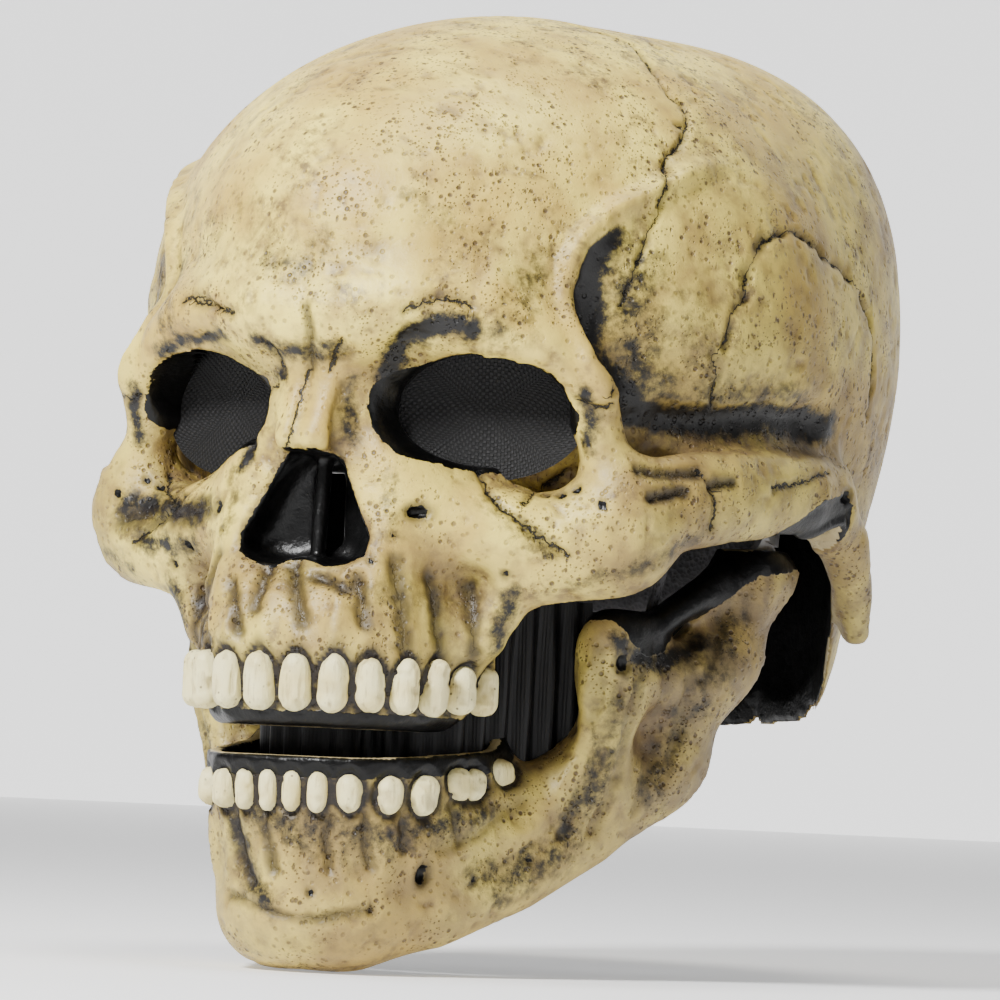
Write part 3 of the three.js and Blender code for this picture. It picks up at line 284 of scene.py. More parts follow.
# Soft hollows, darkened with the mask's airbrushed dark together with painted shade, laid out the same way.
BANDS = [
    ('f1', 's', 9.0, 4.8, 1.05, 0.5, [(76.0, -78.0, 27.5), (74.9000015258789, -94.0999984741211, 38.0), (69.0, -91.0999984741211, 47.20000076293945), (67.69999694824219, -91.9000015258789, 56.20000076293945), (68.30000305175781, -90.69999694824219, 64.19999694824219), (70.5, -86.80000305175781, 70.80000305175781)]),
    ('f1b', 's', 15, 3.0, 0.6, 1.0, [(82.0999984741211, -71.19999694824219, 29.700000762939453), (78.69999694824219, -78.5, 40.5), (77.0999984741211, -81.5, 51.5), (77.30000305175781, -80.4000015258789, 62.400001525878906)]),
    ('f3', 's', 17, 1.6, 0.36, 1, [(88.19999694824219, -66.80000305175781, 55.70000076293945), (90.19999694824219, -62.900001525878906, 41.900001525878906), (91.30000305175781, -57.20000076293945, 30.899999618530273)]),
    ('f2', 's', 6.5, 4.4, 1.0, 0.5, [(76.19999694824219, -75.30000305175781, 23.100000381469727), (81.9000015258789, -67.0, 21.200000762939453), (90.0999984741211, -53.400001525878906, 21.200000762939453), (99.0, -31.399999618530273, 24.299999237060547), (102.69999694824219, 4.099999904632568, 24.5)]),
    ('f2b', 's', 10, 2.0, 0.5, 1.0, [(80.0, -73.0999984741211, 27.899999618530273), (89.30000305175781, -59.29999923706055, 27.899999618530273), (98.80000305175781, -38.70000076293945, 30.100000381469727), (103.0999984741211, -15.300000190734863, 30.200000762939453)]),
    ('brp', 's', 5.5, 2.4, 1.0, 0.8, [(20.200000762939453, -119.4000015258789, 30.299999237060547), (24.700000762939453, -123.69999694824219, 35.70000076293945), (30.899999618530273, -125.19999694824219, 39.5), (38.5, -124.5, 43.0), (45.29999923706055, -120.5999984741211, 42.29999923706055)]),
    ('brr', 's', 4.0, 1.6, 0.8, 0.8, [(-58.79999923706055, -109.5999984741211, 35.900001525878906), (-45.29999923706055, -116.5, 38.900001525878906), (-29.700000762939453, -126.0, 39.400001525878906)]),
    ('ck', 's', 4.5, 0.6, 0.5, 1, [(70.69999694824219, -97.30000305175781, -26.700000762939453), (79.9000015258789, -94.19999694824219, -23.600000381469727), (89.19999694824219, -88.0999984741211, -19.100000381469727), (94.9000015258789, -67.5, -12.300000190734863)]),
    ('ns1', 's', 3.0, 1.2, 0.9, 0.8, [(-9.300000190734863, -127.19999694824219, 29.399999618530273), (-27.399999618530273, -101.19999694824219, 23.100000381469727), (-21.0, -121.30000305175781, 10.399999618530273), (-23.0, -123.9000015258789, 1.7000000476837158)]),
    ('ns2', 's', 3.5, 1.0, 0.75, 0.8, [(12.100000381469727, -125.30000305175781, 27.5), (11.399999618530273, -125.80000305175781, 20.5), (12.199999809265137, -123.9000015258789, 10.800000190734863)]),
    ('ck2', 's', 5, 1.0, 0.5, 1, [(48.29999923706055, -108.0999984741211, -4.300000190734863), (56.400001525878906, -108.0, -11.100000381469727), (64.5999984741211, -103.0999984741211, -18.200000762939453)]),
    ('zfr', 's', 4, 0.8, 0.8, 1, [(72.19999694824219, -101.5, 25.899999618530273), (73.30000305175781, -97.9000015258789, 19.200000762939453), (71.69999694824219, -94.9000015258789, 11.0)]),
    ('tmp', 's', 9, 0.3, 0.5, 1, [(57.599998474121094, -102.0999984741211, 62.20000076293945), (56.5, -111.4000015258789, 51.599998474121094), (53.20000076293945, -116.5999984741211, 42.70000076293945)]),
    ('fh1', 's', 8, 0.2, 0.5, 1, [(-12.699999809265137, -131.0, 60.0), (-2.5, -132.0, 58.29999923706055), (2.799999952316284, -130.8000030517578, 66.30000305175781)]),
    ('fh2', 's', 9, 0.2, 0.35, 1, [(26.100000381469727, -122.4000015258789, 81.19999694824219), (34.400001525878906, -119.5999984741211, 74.5), (41.70000076293945, -115.0999984741211, 70.80000305175781)]),
    ('rck', 's', 7, 1.2, 0.8, 1, [(-74.19999694824219, -98.5999984741211, -7.900000095367432), (-60.79999923706055, -101.9000015258789, -6.400000095367432), (-42.20000076293945, -114.4000015258789, -10.100000381469727)]),
    ('rc2', 's', 6, 0.8, 0.7, 1, [(-66.5999984741211, -102.19999694824219, -18.100000381469727), (-53.29999923706055, -108.0, -20.399999618530273), (-45.0, -111.19999694824219, -19.5)]),
    ('mxl', 's', 6, 0.6, 0.6, 1, [(-45.400001525878906, -106.0999984741211, -35.0), (-27.200000762939453, -132.10000610351562, -46.900001525878906), (-21.0, -137.10000610351562, -51.099998474121094)]),
    ('glb', 's', 5, 0.8, 0.7, 1, [(-15.5, -132.5, 37.900001525878906), (-8.0, -131.1999969482422, 34.70000076293945), (2.0, -132.10000610351562, 34.70000076293945), (11.0, -131.3000030517578, 35.5)]),
    ('nz', 's', 5.0, 0.8, 0.45, 1, [(25.600000381469727, -122.69999694824219, 2.700000047683716), (24.100000381469727, -125.0999984741211, -5.900000095367432), (26.299999237060547, -125.5, -14.199999809265137)]),
    ('mxs', 's', 8.0, 0.6, 0.35, 1, [(2.9000000953674316, -133.5, -29.200000762939453), (18.799999237060547, -133.5, -31.5), (30.700000762939453, -126.0, -33.099998474121094), (37.599998474121094, -108.80000305175781, -32.70000076293945)]),
    ('mxb', 's', 5.0, 0.8, 0.75, 1, [(54.5, -104.0, -30.899999618530273), (52.400001525878906, -103.5, -37.599998474121094), (49.79999923706055, -100.4000015258789, -46.0)]),
    ('jr1', 'j', 8.0, 0.6, 0.5, 1, [(71.0, -53.099998474121094, -40.70000076293945), (71.19999694824219, -61.900001525878906, -58.099998474121094), (66.5999984741211, -60.400001525878906, -75.4000015258789)]),
    ('jr2', 'j', 6.0, 0.6, 0.55, 1, [(54.79999923706055, -67.5, -87.4000015258789), (48.20000076293945, -78.4000015258789, -102.0), (40.599998474121094, -94.0999984741211, -110.9000015258789)]),
    ('jr3', 'j', 6.0, 0.6, 0.5, 1, [(77.0, -31.5, -42.599998474121094), (75.69999694824219, -33.400001525878906, -62.900001525878906), (71.80000305175781, -40.099998474121094, -83.4000015258789)]),
    ('jc0', 'j', 9.0, 0.3, 0.6, 1, [(-19.100000381469727, -130.6999969482422, -91.5), (6.400000095367432, -133.10000610351562, -98.80000305175781), (30.299999237060547, -118.69999694824219, -98.9000015258789), (41.79999923706055, -92.19999694824219, -91.0999984741211)]),
    ('jc3', 'j', 9.0, 0.3, 0.6, 1, [(57.29999923706055, -61.900001525878906, -64.4000015258789), (64.30000305175781, -61.5, -81.19999694824219), (55.400001525878906, -67.30000305175781, -101.5999984741211), (45.599998474121094, -85.0, -113.5)]),
    ('jc4', 'j', 10.0, 0.3, 0.5, 1, [(84.9000015258789, -14.5, -33.0), (80.5, -30.600000381469727, -56.900001525878906), (71.0, -41.70000076293945, -83.4000015258789)]),
    ('jc1', 'j', 6.0, 0.8, 0.75, 1, [(-15.199999809265137, -130.8000030517578, -96.9000015258789), (-11.300000190734863, -131.10000610351562, -108.0), (-3.9000000953674316, -134.39999389648438, -118.80000305175781)]),
    ('jc2', 'j', 8.0, 0.5, 0.45, 1, [(6.400000095367432, -132.89999389648438, -101.5), (21.799999237060547, -126.0999984741211, -103.5999984741211), (31.799999237060547, -115.19999694824219, -100.19999694824219)]),
    ('jn', 'j', 5.0, 1.0, 0.8, 1, [(67.80000305175781, -65.19999694824219, -41.29999923706055), (73.30000305175781, -57.5, -45.400001525878906), (75.4000015258789, -41.599998474121094, -45.900001525878906), (77.69999694824219, -26.200000762939453, -39.5)]),
]
# Small holes: (name, skin, place, half width, half height, depth, darkness), mm
HOLES = [
    ('inf', 's', (32.29999923706055, -120.5999984741211, -8.800000190734863), 3.3, 1.9, 3.2, 1),
    ('infr', 's', (-46.5, -110.4000015258789, -20.0), 1.8, 1.6, 2.2, 0.9),
    ('p1', 's', (59.5, -96.0999984741211, -2.0), 1.2, 1.2, 1.5, 1),
    ('p2', 's', (64.4000015258789, -95.80000305175781, -1.899999976158142), 1.2, 1.2, 1.5, 1),
    ('p3', 's', (69.19999694824219, -95.5999984741211, -0.30000001192092896), 1.1, 1.1, 1.4, 1),
    ('oval', 's', (108.5, 6.599999904632568, 4.900000095367432), 2.6, 1.8, 2.6, 1),
    ('m1', 'j', (32.79999923706055, -108.9000015258789, -109.9000015258789), 2.3, 2.8, 3.0, 1),
    ('m2', 'j', (71.0, -63.29999923706055, -47.900001525878906), 2.2, 2.6, 2.2, 0.95),
    ('p4', 's', (78.0, -97.5, -4.5), 1.0, 1.2, 1.3, 0.9),
    ('p5', 's', (49.900001525878906, -90.4000015258789, 9.5), 0.9, 0.9, 1, 0.8),
    ('p6', 's', (8.399999618530273, -114.4000015258789, -11.199999809265137), 1.0, 1.3, 1.2, 0.8),
    ('p7', 's', (22.5, -129.39999389648438, -22.899999618530273), 1.0, 1.0, 1.1, 0.8),
    ('p8', 's', (27.600000381469727, -124.9000015258789, -15.600000381469727), 0.9, 0.9, 1, 0.7),
    ('p9', 's', (53.099998474121094, -106.0999984741211, -25.100000381469727), 1.1, 1.1, 1.2, 0.8),
    ('p10', 'j', (10.100000381469727, -132.5, -116.0999984741211), 1.0, 1.0, 1.2, 0.8),
    ('p11', 'j', (41.400001525878906, -92.5999984741211, -110.9000015258789), 1.0, 1.2, 1.2, 0.8),
    ('p12', 'j', (50.20000076293945, -75.9000015258789, -104.69999694824219), 1.0, 1.0, 1.2, 0.8),
]


def at_eye(p):
    """Coordinates at the eye opening: across, depth (inwards), up."""
    c, s = math.cos(math.radians(EYE["yaw"])), math.sin(math.radians(EYE["yaw"]))
    q = p - np.array(EYE["at"], f32)
    ax = np.abs(p[:, 0]) - EYE["at"][0]
    return np.stack([ax * c + q[:, 1] * s, -ax * s + q[:, 1] * c, q[:, 2]], 1)


def recess(p):
    """The eye sockets and the nose hollow; negative inside them."""
    q = p.copy()
    q[:, 0] = np.abs(q[:, 0])
    o = ell(q, *ORBIT)
    top = q[:, 2] - (31.5 + 0.10 * (q[:, 0] - 45))          # the socket's roof is flatter than its floor
    o = smax(o, top, 6)
    n = smax(poly(q[:, 0], q[:, 2], NOSE_M), q[:, 1] + 111.0 + 0.25 * q[:, 0], 7)
    n = smax(n, -tube(q, *SEPTUM), 2)
    return o, n


def skull_outer(p):
    o, n = recess(p)
    d = field(p, SKULL)
    d = smax(d, -o, 5)
    return smax(d, -n, 3)


def skull_shell(p):
    d = skull_outer(p)
    s = np.maximum(d, -(d + SKIN_T))
    s = np.maximum(s, -poly(p[:, 1], p[:, 2], CUT_SKULL))
    t = np.maximum(poly(np.abs(p[:, 0]), p[:, 1], THROAT_M), p[:, 2] - 2)
    s = np.maximum(s, -t)
    e = at_eye(p)
    hole = np.sqrt((e[:, 0] / EYE["hx"]) ** 2 + (e[:, 2] / EYE["hz"]) ** 2) - 1
    hole = np.maximum(hole * EYE["hz"], np.maximum(-e[:, 1] - 9, e[:, 1] - 16))
    return np.maximum(s, -hole)


NOSE_M = [(-x, z) for x, z in NOSE[::-1] if x > 0] + NOSE
THROAT_M = THROAT + [(-x, y) for x, y in THROAT[::-1] if x > 0]


def jaw_outer(p):
    return field(p, JAW)


def jaw_shell(p):
    d = jaw_outer(p)
    s = np.maximum(d, -(d + SKIN_T))
    s = np.maximum(s, poly(p[:, 1], p[:, 2], KEEP_JAW))
    return np.maximum(s, -poly(np.abs(p[:, 0]), p[:, 1], JAW_OPEN))


def arch(teeth):
    """Both sides of a row of teeth: (x, y, width, outward direction)."""
    pts = [(-x, y, w) for x, y, w in teeth[::-1]] + list(teeth)
    out = []
    for i, (x, y, w) in enumerate(pts):
        a, b = pts[max(i - 1, 0)], pts[min(i + 1, len(pts) - 1)]
        tx, ty = b[0] - a[0], b[1] - a[1]
        n = math.hypot(tx, ty)
        out.append((x, y, w, ty / n, -tx / n))
    return out


def teeth_field(p, teeth, z0, z1, deep, up):
    """Rounded, slightly tapered crowns. up is +1 where the biting edge is below the root."""
    out = np.full(len(p), 30.0, f32)
    for i, (x, y, w, nx, ny) in enumerate(arch(teeth)):
        r = RS_TEETH[i % len(RS_TEETH)]
        k = min(i, 2 * len(teeth) - 1 - i)
        short = 1.5 * (k < 2) + 1.2 * abs(r[0])
        if up > 0:
            za, zb = z0 + short * 0.5, z1 - short * 0.6
        else:
            za, zb = z0 + short * 0.6, z1 - short * 0.4
        rise = 0.0 if up > 0 else 7.0 * float(ramp(np.array([y]), -118.0, -74.0)[0])
        za, zb = za + rise, zb + rise
        c = np.array([x - nx * deep / 2, y - ny * deep / 2, (za + zb) / 2], f32)
        near = (np.abs(p - c).max(1) < 16)
        if not near.any():
            continue
        q = p[near] - c
        tx, ty = -ny, nx
        lx = q[:, 0] * tx + q[:, 1] * ty
        ly = q[:, 0] * nx + q[:, 1] * ny
        lz = q[:, 2]
        hz = (zb - za) / 2
        lx = lx + 0.05 * r[1] * lz
        taper = 1 + 0.08 * up * -(lz / hz) - 0.26 * (lz / hz) ** 2
        l = np.stack([lx / taper, ly - 0.35 * np.cos(lx / w * 2.2), lz], 1)
        rd = min(w / 2, deep / 2, hz) * 0.92
        if w > 15:                                     # the last lower tooth has two lobes
            l[:, 0] = np.abs(l[:, 0]) - w * 0.25
            v = rbox(l, (w * 0.27 - rd * 0.8, deep / 2 - rd * 0.8, hz - rd * 0.8), rd * 0.8)
        else:
            v = rbox(l, (w / 2 - rd, deep / 2 - rd, hz - rd), rd)
        out[near] = np.minimum(out[near], v)
    return out


RS_TEETH = np.random.RandomState(5).uniform(-1, 1, (14, 3))


def upper_field(p):
    return teeth_field(p, UPPER, -66.2, -49.0, 9.0, 1)


def lower_field(p):
    return teeth_field(p, LOWER, -94.2, -82.0, 8.0, -1)


# ------------------------------------------------------------------ meshing
def surface(fn, lo, hi, h, mirror=True, reach=2.2):
    """Quads on fn = 0, worked out only near the surface. Returns points in mm and faces."""
    lo, hi = np.array(lo, float), np.array(hi, float)
    if mirror:
        lo[0] = 0.0
    nb = np.ceil((hi - lo) / h / 4).astype(int) + 1
    ax = [np.arange(k) * 4 for k in nb]
    b = np.stack(np.meshgrid(*ax, indexing="ij"), -1).reshape(-1, 3)
    dc = fn((lo + (b + 1.5) * h).astype(f32))
    a = np.empty((nb[0], 4, nb[1], 4, nb[2], 4), f32)
    a[...] = np.clip(dc, -6 * h, 6 * h).reshape(nb)[:, None, :, None, :, None]
    near = np.abs(dc) < 4 * h * 0.87 * reach + 2 * h
    o = np.stack(np.meshgrid(*[np.arange(4)] * 3, indexing="ij"), -1).reshape(-1, 3)
    cells = b[near]
    vals = np.empty((len(cells), 64), f32)
    for i in range(0, len(cells), 6000):
        c = (cells[i:i + 6000, None, :] + o[None]).reshape(-1, 3)
        vals[i:i + 6000] = fn((lo + c * h).astype(f32)).reshape(-1, 64)
    a.transpose(0, 2, 4, 1, 3, 5)[near.reshape(nb)] = vals.reshape(-1, 4, 4, 4)
    a = a.reshape(nb * 4)
    base = lo.copy()
    if mirror:
        base[0] = -(a.shape[0] - 1) * h
        a = np.concatenate([a[:0:-1], a], 0)
    g = vdb.FloatGrid(6.0)
    g.copyFromArray(np.ascontiguousarray(a / h), ijk=(0, 0, 0), tolerance=0.0)
    pts, quads = g.convertToQuads(isovalue=0.0)
    pts = base + np.asarray(pts, float) * h
    quads = np.asarray(quads)
    v0 = pts[quads[:, 0]]
    vol = np.einsum("ij,ij->i", v0, np.cross(pts[quads[:, 1]], pts[quads[:, 2]])
                    + np.cross(pts[quads[:, 2]], pts[quads[:, 3]])).sum()
    return pts, (quads if vol > 0 else quads[:, ::-1])


def biggest(pts, quads):
    """The largest connected piece only."""
    lab = np.arange(len(pts))
    e = np.concatenate([quads[:, [0, 1]], quads[:, [1, 2]], quads[:, [2, 3]]])
    while True:
        m = np.minimum(lab[e[:, 0]], lab[e[:, 1]])
        new = lab.copy()
        np.minimum.at(new, e[:, 0], m)
        np.minimum.at(new, e[:, 1], m)
        new = new[new]
        new = new[new]
        if (new == lab).all():
            break
        lab = new
    top = np.bincount(lab).argmax()
    keep = lab == top
    idx = np.cumsum(keep) - 1
    return pts[keep], idx[quads[keep[quads[:, 0]]]]


def mesh_object(name, pts_mm, faces, smooth=True):
    me = bpy.data.meshes.new(name)
    v = row(pts_mm).astype(f32)
    k = faces.shape[1]
    me.vertices.add(len(v))
    me.vertices.foreach_set("co", v.ravel())
    me.loops.add(len(faces) * k)
    me.loops.foreach_set("vertex_index", np.ascontiguousarray(faces, np.int32).ravel())
    me.polygons.add(len(faces))
    me.polygons.foreach_set("loop_start", np.arange(0, len(faces) * k, k, dtype=np.int32))
    me.polygons.foreach_set("use_smooth", np.full(len(faces), smooth))
    me.update(calc_edges=True)
    me.validate()
    o = bpy.data.objects.new(name, me)
    bpy.context.scene.collection.objects.link(o)
    return o


def normals(pts, faces):
    n = np.zeros_like(pts)
    a = np.cross(pts[faces[:, 2]] - pts[faces[:, 0]], pts[faces[:, 3 if faces.shape[1] > 3 else 1]] - pts[faces[:, 1 if faces.shape[1] > 3 else 0]])
    if faces.shape[1] == 3:
        a = np.cross(pts[faces[:, 1]] - pts[faces[:, 0]], pts[faces[:, 2]] - pts[faces[:, 0]])
    for i in range(faces.shape[1]):
        for c in range(3):
            n[:, c] += np.bincount(faces[:, i], a[:, c], len(pts))
    return n / np.maximum(np.linalg.norm(n, axis=1), 1e-9)[:, None]


def relax(pts, faces, rounds=1, part=0.5, only=None):
    """Evens out the mesh a little."""
    e = np.concatenate([faces[:, [i, (i + 1) % faces.shape[1]]] for i in range(faces.shape[1])])
    cnt = np.bincount(e[:, 0], minlength=len(pts)) + np.bincount(e[:, 1], minlength=len(pts))
    for _ in range(rounds):
        s = np.zeros_like(pts)
        for c in range(3):
            s[:, c] = np.bincount(e[:, 0], pts[e[:, 1], c], len(pts)) + np.bincount(e[:, 1], pts[e[:, 0], c], len(pts))
        avg = s / np.maximum(cnt, 1)[:, None]
        w = part if only is None else part * only[:, None]
        pts = pts + (avg - pts) * w
    return pts


def floats(o, **vals):
    for name, v in vals.items():
        a = o.data.attributes.new(name, "FLOAT", "POINT")
        a.data.foreach_set("value", np.ascontiguousarray(v, f32))


def crack_coords(p, nrm, line):
    """Signed distance to a line drawn on the surface, and how far past its ends a point is."""
    best = np.full(len(p), 1e9)
    sd = np.zeros(len(p))
    over = np.zeros(len(p))
    last = len(line) - 2
    for k, (a, b) in enumerate(zip(line, line[1:])):
        a, b = np.array(a, float), np.array(b, float)
        ba = b - a
        L = max(np.linalg.norm(ba), 1e-6)
        t = ((p - a) @ ba) / (L * L)
        tc = np.clip(t, 0, 1)
        d = np.sqrt(((p - a - tc[:, None] * ba) ** 2).sum(1))
        side = np.einsum("ij,ij->i", np.cross(np.broadcast_to(ba / L, p.shape), p - a), nrm)
        e = np.zeros(len(p))
        if k == 0:
            e = np.maximum(e, -t * L)
        if k == last:
            e = np.maximum(e, (t - 1) * L)
        m = d < best
        best[m], sd[m], over[m] = d[m], (np.sign(side) * d)[m], e[m]
    return sd, best, over


def line_dist(p, line):
    d = np.full(len(p), 1e9)
    for a, b in zip(line, line[1:]):
        a, b = np.array(a, float), np.array(b, float)
        ba = b - a
        t = np.clip(((p - a) @ ba) / max(ba @ ba, 1e-9), 0, 1)
        d = np.minimum(d, ((p - a - t[:, None] * ba) ** 2).sum(1))
    return np.sqrt(d)


def carve(pts, nrm, skin, outer, inner):
    """Grooves, ridges, holes and bands: displacement inwards, darkness and black."""
    disp = np.zeros(len(pts))
    dark = np.zeros(len(pts))
    black = np.zeros(len(pts))
    shade = np.zeros(len(pts))
    crack = np.full(len(pts), 9.0)
    cmask = np.zeros(len(pts))
    ridge = np.zeros(len(pts))
    low = np.zeros(len(pts))
    wob = np.stack([noise(pts.astype(f32), 7.0, s) - 0.5 for s in (1, 2, 3)], 1)
    wob += 0.5 * np.stack([noise(pts.astype(f32), 3.2, s) - 0.5 for s in (4, 5, 6)], 1)
    idx = np.flatnonzero(outer)
    P, W = pts[idx], wob[idx]
    rag = noise(P.astype(f32), 2.2, 9)
    back = np.flatnonzero(inner)
    for sgn in (1, -1):
        for name, sk, wd, dp, dk, wig, line in BANDS:
            if sk == skin:
                d = line_dist(pts[back], np.array(line) * np.array([sgn, 1, 1]))
                add = dp * np.exp(-(np.maximum(d - 1.0, 0) / wd) ** 2)
                disp[back] = np.maximum(disp[back], np.where(d < 3.5 * wd, add, 0))
    for sgn in (1, -1):
        for kind, items in (("g", GROOVES), ("b", BANDS)):
            for name, sk, wd, dp, dk, wig, line in items:
                if sk != skin:
                    continue
                xs = [q[0] for q in line]
                if sgn < 0 and min(xs) < 24:            # near the middle each side has its own marks
                    continue
                L = np.array(line) * np.array([sgn, 1, 1])
                lo, hi = L.min(0) - 3 * wd - 4, L.max(0) + 3 * wd + 4
                m = ((P > lo) & (P < hi)).all(1)
                if not m.any():
                    continue
                d = line_dist(P[m] + W[m] * wig * 2.4, L)
                if kind == "g" and dp > 0:
                    sd, ad, over = crack_coords(P[m] + W[m] * wig * 2.4, nrm[idx[m]], L)
                    j = idx[m]
                    nearer = ad < np.abs(crack[j])
                    crack[j[nearer]] = sd[nearer]
                    fine = dk if wd < 1.5 else 0.3 * dk
                    cmask[j[nearer]] = (fine * (1 - ramp(ad, 2.0, 3.4)) * (1 - ramp(over, 0.0, 1.5)))[nearer]
                w = wd * (0.75 + 0.6 * rag[m])
                if dp < 0 or kind == "b":
                    w = wd
                f = np.exp(-(d / w) ** 2) * (d < 3.5 * wd)
                if dp < 0 or kind == "b":               # both ends die away
                    e0 = np.linalg.norm(P[m] - L[0], axis=1)
                    e1 = np.linalg.norm(P[m] - L[-1], axis=1)
                    far = 26.0 if dp < 0 and sk == "s" else 2.2 * wd
                    f = f * (0.25 + 0.75 * ramp(e0, 0, min(far, 12.0))) * (0.05 + 0.95 * ramp(e1, 0, far))
                i = idx[m]
                if kind == "b":
                    low[i] = np.maximum(low[i], dp * f)
                else:
                    disp[i] -= dp * f
                if kind == "g" and dp < 0:
                    ridge[i] = np.maximum(ridge[i], 1 - ramp(d, w * 0.7, w * 1.3))
                elif kind == "g":
                    dark[i] = np.maximum(dark[i], (0.62 if wd < 1.5 else 0.95) * dk * (1 - ramp(d, w * 0.5, w * 1.8)))
                else:
                    shade[i] = np.maximum(shade[i], dk * np.exp(-(d / (w * 0.9)) ** 2))
        for name, sk, c, rx, rz, dp, dk in HOLES:
            if sk != skin or (sgn < 0 and c[0] < 24):
                continue
            c = np.array(c) * np.array([sgn, 1, 1])
            q = P - c
            d = np.sqrt((np.hypot(q[:, 0], q[:, 1]) / rx) ** 2 + (q[:, 2] / rz) ** 2)
            m = d < 2.4
            i = idx[m]
            disp[i] -= dp * (1 - ramp(d[m], 0.45, 1.35))
            black[i] = np.maximum(black[i], dk * (1 - ramp(d[m], 0.8, 1.2)))
            dark[i] = np.maximum(dark[i], 0.7 * (1 - ramp(d[m], 1.0, 2.2)))
    disp -= low * (1 - 0.5 * ridge)
    return disp, dark, black, shade * (1 - 0.85 * ridge), np.clip(crack, -9, 9), cmask


def hollows(pts, nrm, outer_fn, outer):
    """How sunken each point of the outside is, 0 to 1; it sets how much painted shade the recesses get."""
    c = np.zeros(len(pts))
    i = np.flatnonzero(outer)
    for s in (3.0, 7.0, 14.0):
        v = outer_fn((pts[i] + nrm[i] * s).astype(f32))
        c[i] += np.clip((s - v) / s, 0, 1)
    return np.clip(c / 3 * 2.2, 0, 1)


def pocks(p):
    """Weathered, finely eaten surface: small irregular dips."""
    a = noise(p, 2.7, 21)
    b = noise(p, 5.2, 22)
    c = noise(p, 13.0, 23)
    return 0.55 * ramp(a, 0.62, 0.86) * ramp(c, 0.3, 0.65) + 0.35 * ramp(b, 0.62, 0.85) + 0.25 * (noise(p, 9.0, 24) - 0.5)


def roots(pts, teeth, z0, z1, high):
    """The swelling of the bone over each tooth's root."""
    out = np.zeros(len(pts))
    for x, y, w, nx, ny in arch(teeth):
        a = (x - nx, y - ny, z0)
        b = (x * 0.9 - nx * 2, y - ny * 5, z1)
        d = line_dist(pts, [a, b])
        out = np.maximum(out, high * np.exp(-(d / 3.1) ** 2))
    return out


def build_skull():
    pts, quads = biggest(*surface(skull_shell, (-112, -146, -74), (112, 130, 150), FINE))
    d = skull_outer(pts.astype(f32))
    outer = d > -0.9
    nrm = normals(pts, quads)
    pts = relax(pts, quads, 1, 0.5)
    o, n = recess(pts.astype(f32))
    sock = np.minimum(o, n)
    cut = poly(pts[:, 1], pts[:, 2], CUT_SKULL)
    y, z, ax = pts[:, 1], pts[:, 2], np.abs(pts[:, 0])
    eye = at_eye(pts.astype(f32))
    ring = np.sqrt((eye[:, 0] / 27.6) ** 2 + ((eye[:, 2] + 0.5) / 17.2) ** 2)
    black = 1 - ramp(np.minimum(o - 1.1, n), 0.2, 1.6)
    black = np.maximum(black, (eye[:, 1] > -5.5) * (1 - ramp(ring, 0.95, 1.02)))
    black = np.maximum(black, (y < -62) * (y > -90) * (ax > 30) * (1 - ramp(cut, 4.0, 6.0)))
    black = np.maximum(black, (y <= -60) * (1 - ramp(z, -66.4, -65.2)))
    rim = np.interp(y, [-96, -86, -75, -60, -33, -12, 5, 11, 14], [-33, -30, -26.5, -20.0, -10.5, 2.0, 5.5, 2, -60])
    flange = (ax > 46) * (y > -96) * (y < 14) * (1 - ramp(z - rim, -0.6, 0.8))
    black = np.maximum(black, flange)
    lip = (d < -0.7) & (d > -SKIN_T + 0.5)
    inside = d <= -SKIN_T + 0.5
    edge = np.where(lip & (cut < 2.0) & (sock > 3) & (y < 58), 1.0, 0.0)
    black = np.where(inside, 1.0, black)
    black = np.where(lip & (edge < 0.5), 1.0, black)
    face_outer = outer & (sock > -3)
    disp, dark, blk, shade, crack, cmask = carve(pts, nrm, "s", face_outer, inside)
    tooth = upper_field(pts.astype(f32))
    gum = (1 - ramp(tooth, 1.7, 3.2)) * (z < -45.5) * outer
    disp -= 1.3 * flange * outer * ramp(rim - z, 0.0, 1.5) * ramp(cut, 0.5, 3.0)
    dark = np.maximum(dark, gum)
    dark = np.maximum(dark, 0.5 * (1 - ramp(tooth, 2.5, 6.5)) * (z < -43) * outer)
    disp += roots(pts, UPPER, -46.0, -31.0, 1.5) * outer
    disp -= 0.9 * (1 - ramp(np.abs(tooth - 0.6), 0.6, 1.6)) * (z < -46) * outer
    hol = hollows(pts, nrm, skull_outer, outer)
    rough = pocks(pts.astype(f32)) * (1 - np.maximum(black, blk) * 0.8) * outer
    keep = np.where(outer, ramp(cut, 0.3, 2.6), 1.0)
    pts = pts + nrm * ((disp - 0.9 * rough) * keep)[:, None]
    # darker lower down and at the sides: painted shade where the light falls off, over the browner colour of the lower
    # face
    tone = ramp(-z, 5, 60) * 0.45 + 0.3 * ramp(np.abs(pts[:, 0]), 60, 100) * ramp(-z, -60, 0)
    obj = mesh_object("skull_skin", pts, quads)
    floats(obj, black=np.maximum(black, blk), dark=dark, shade=shade, tone=tone, crack=crack, cmask=cmask, hollow=hol, edge=edge, pock=np.clip(rough * 1.6, 0, 1))
    return obj


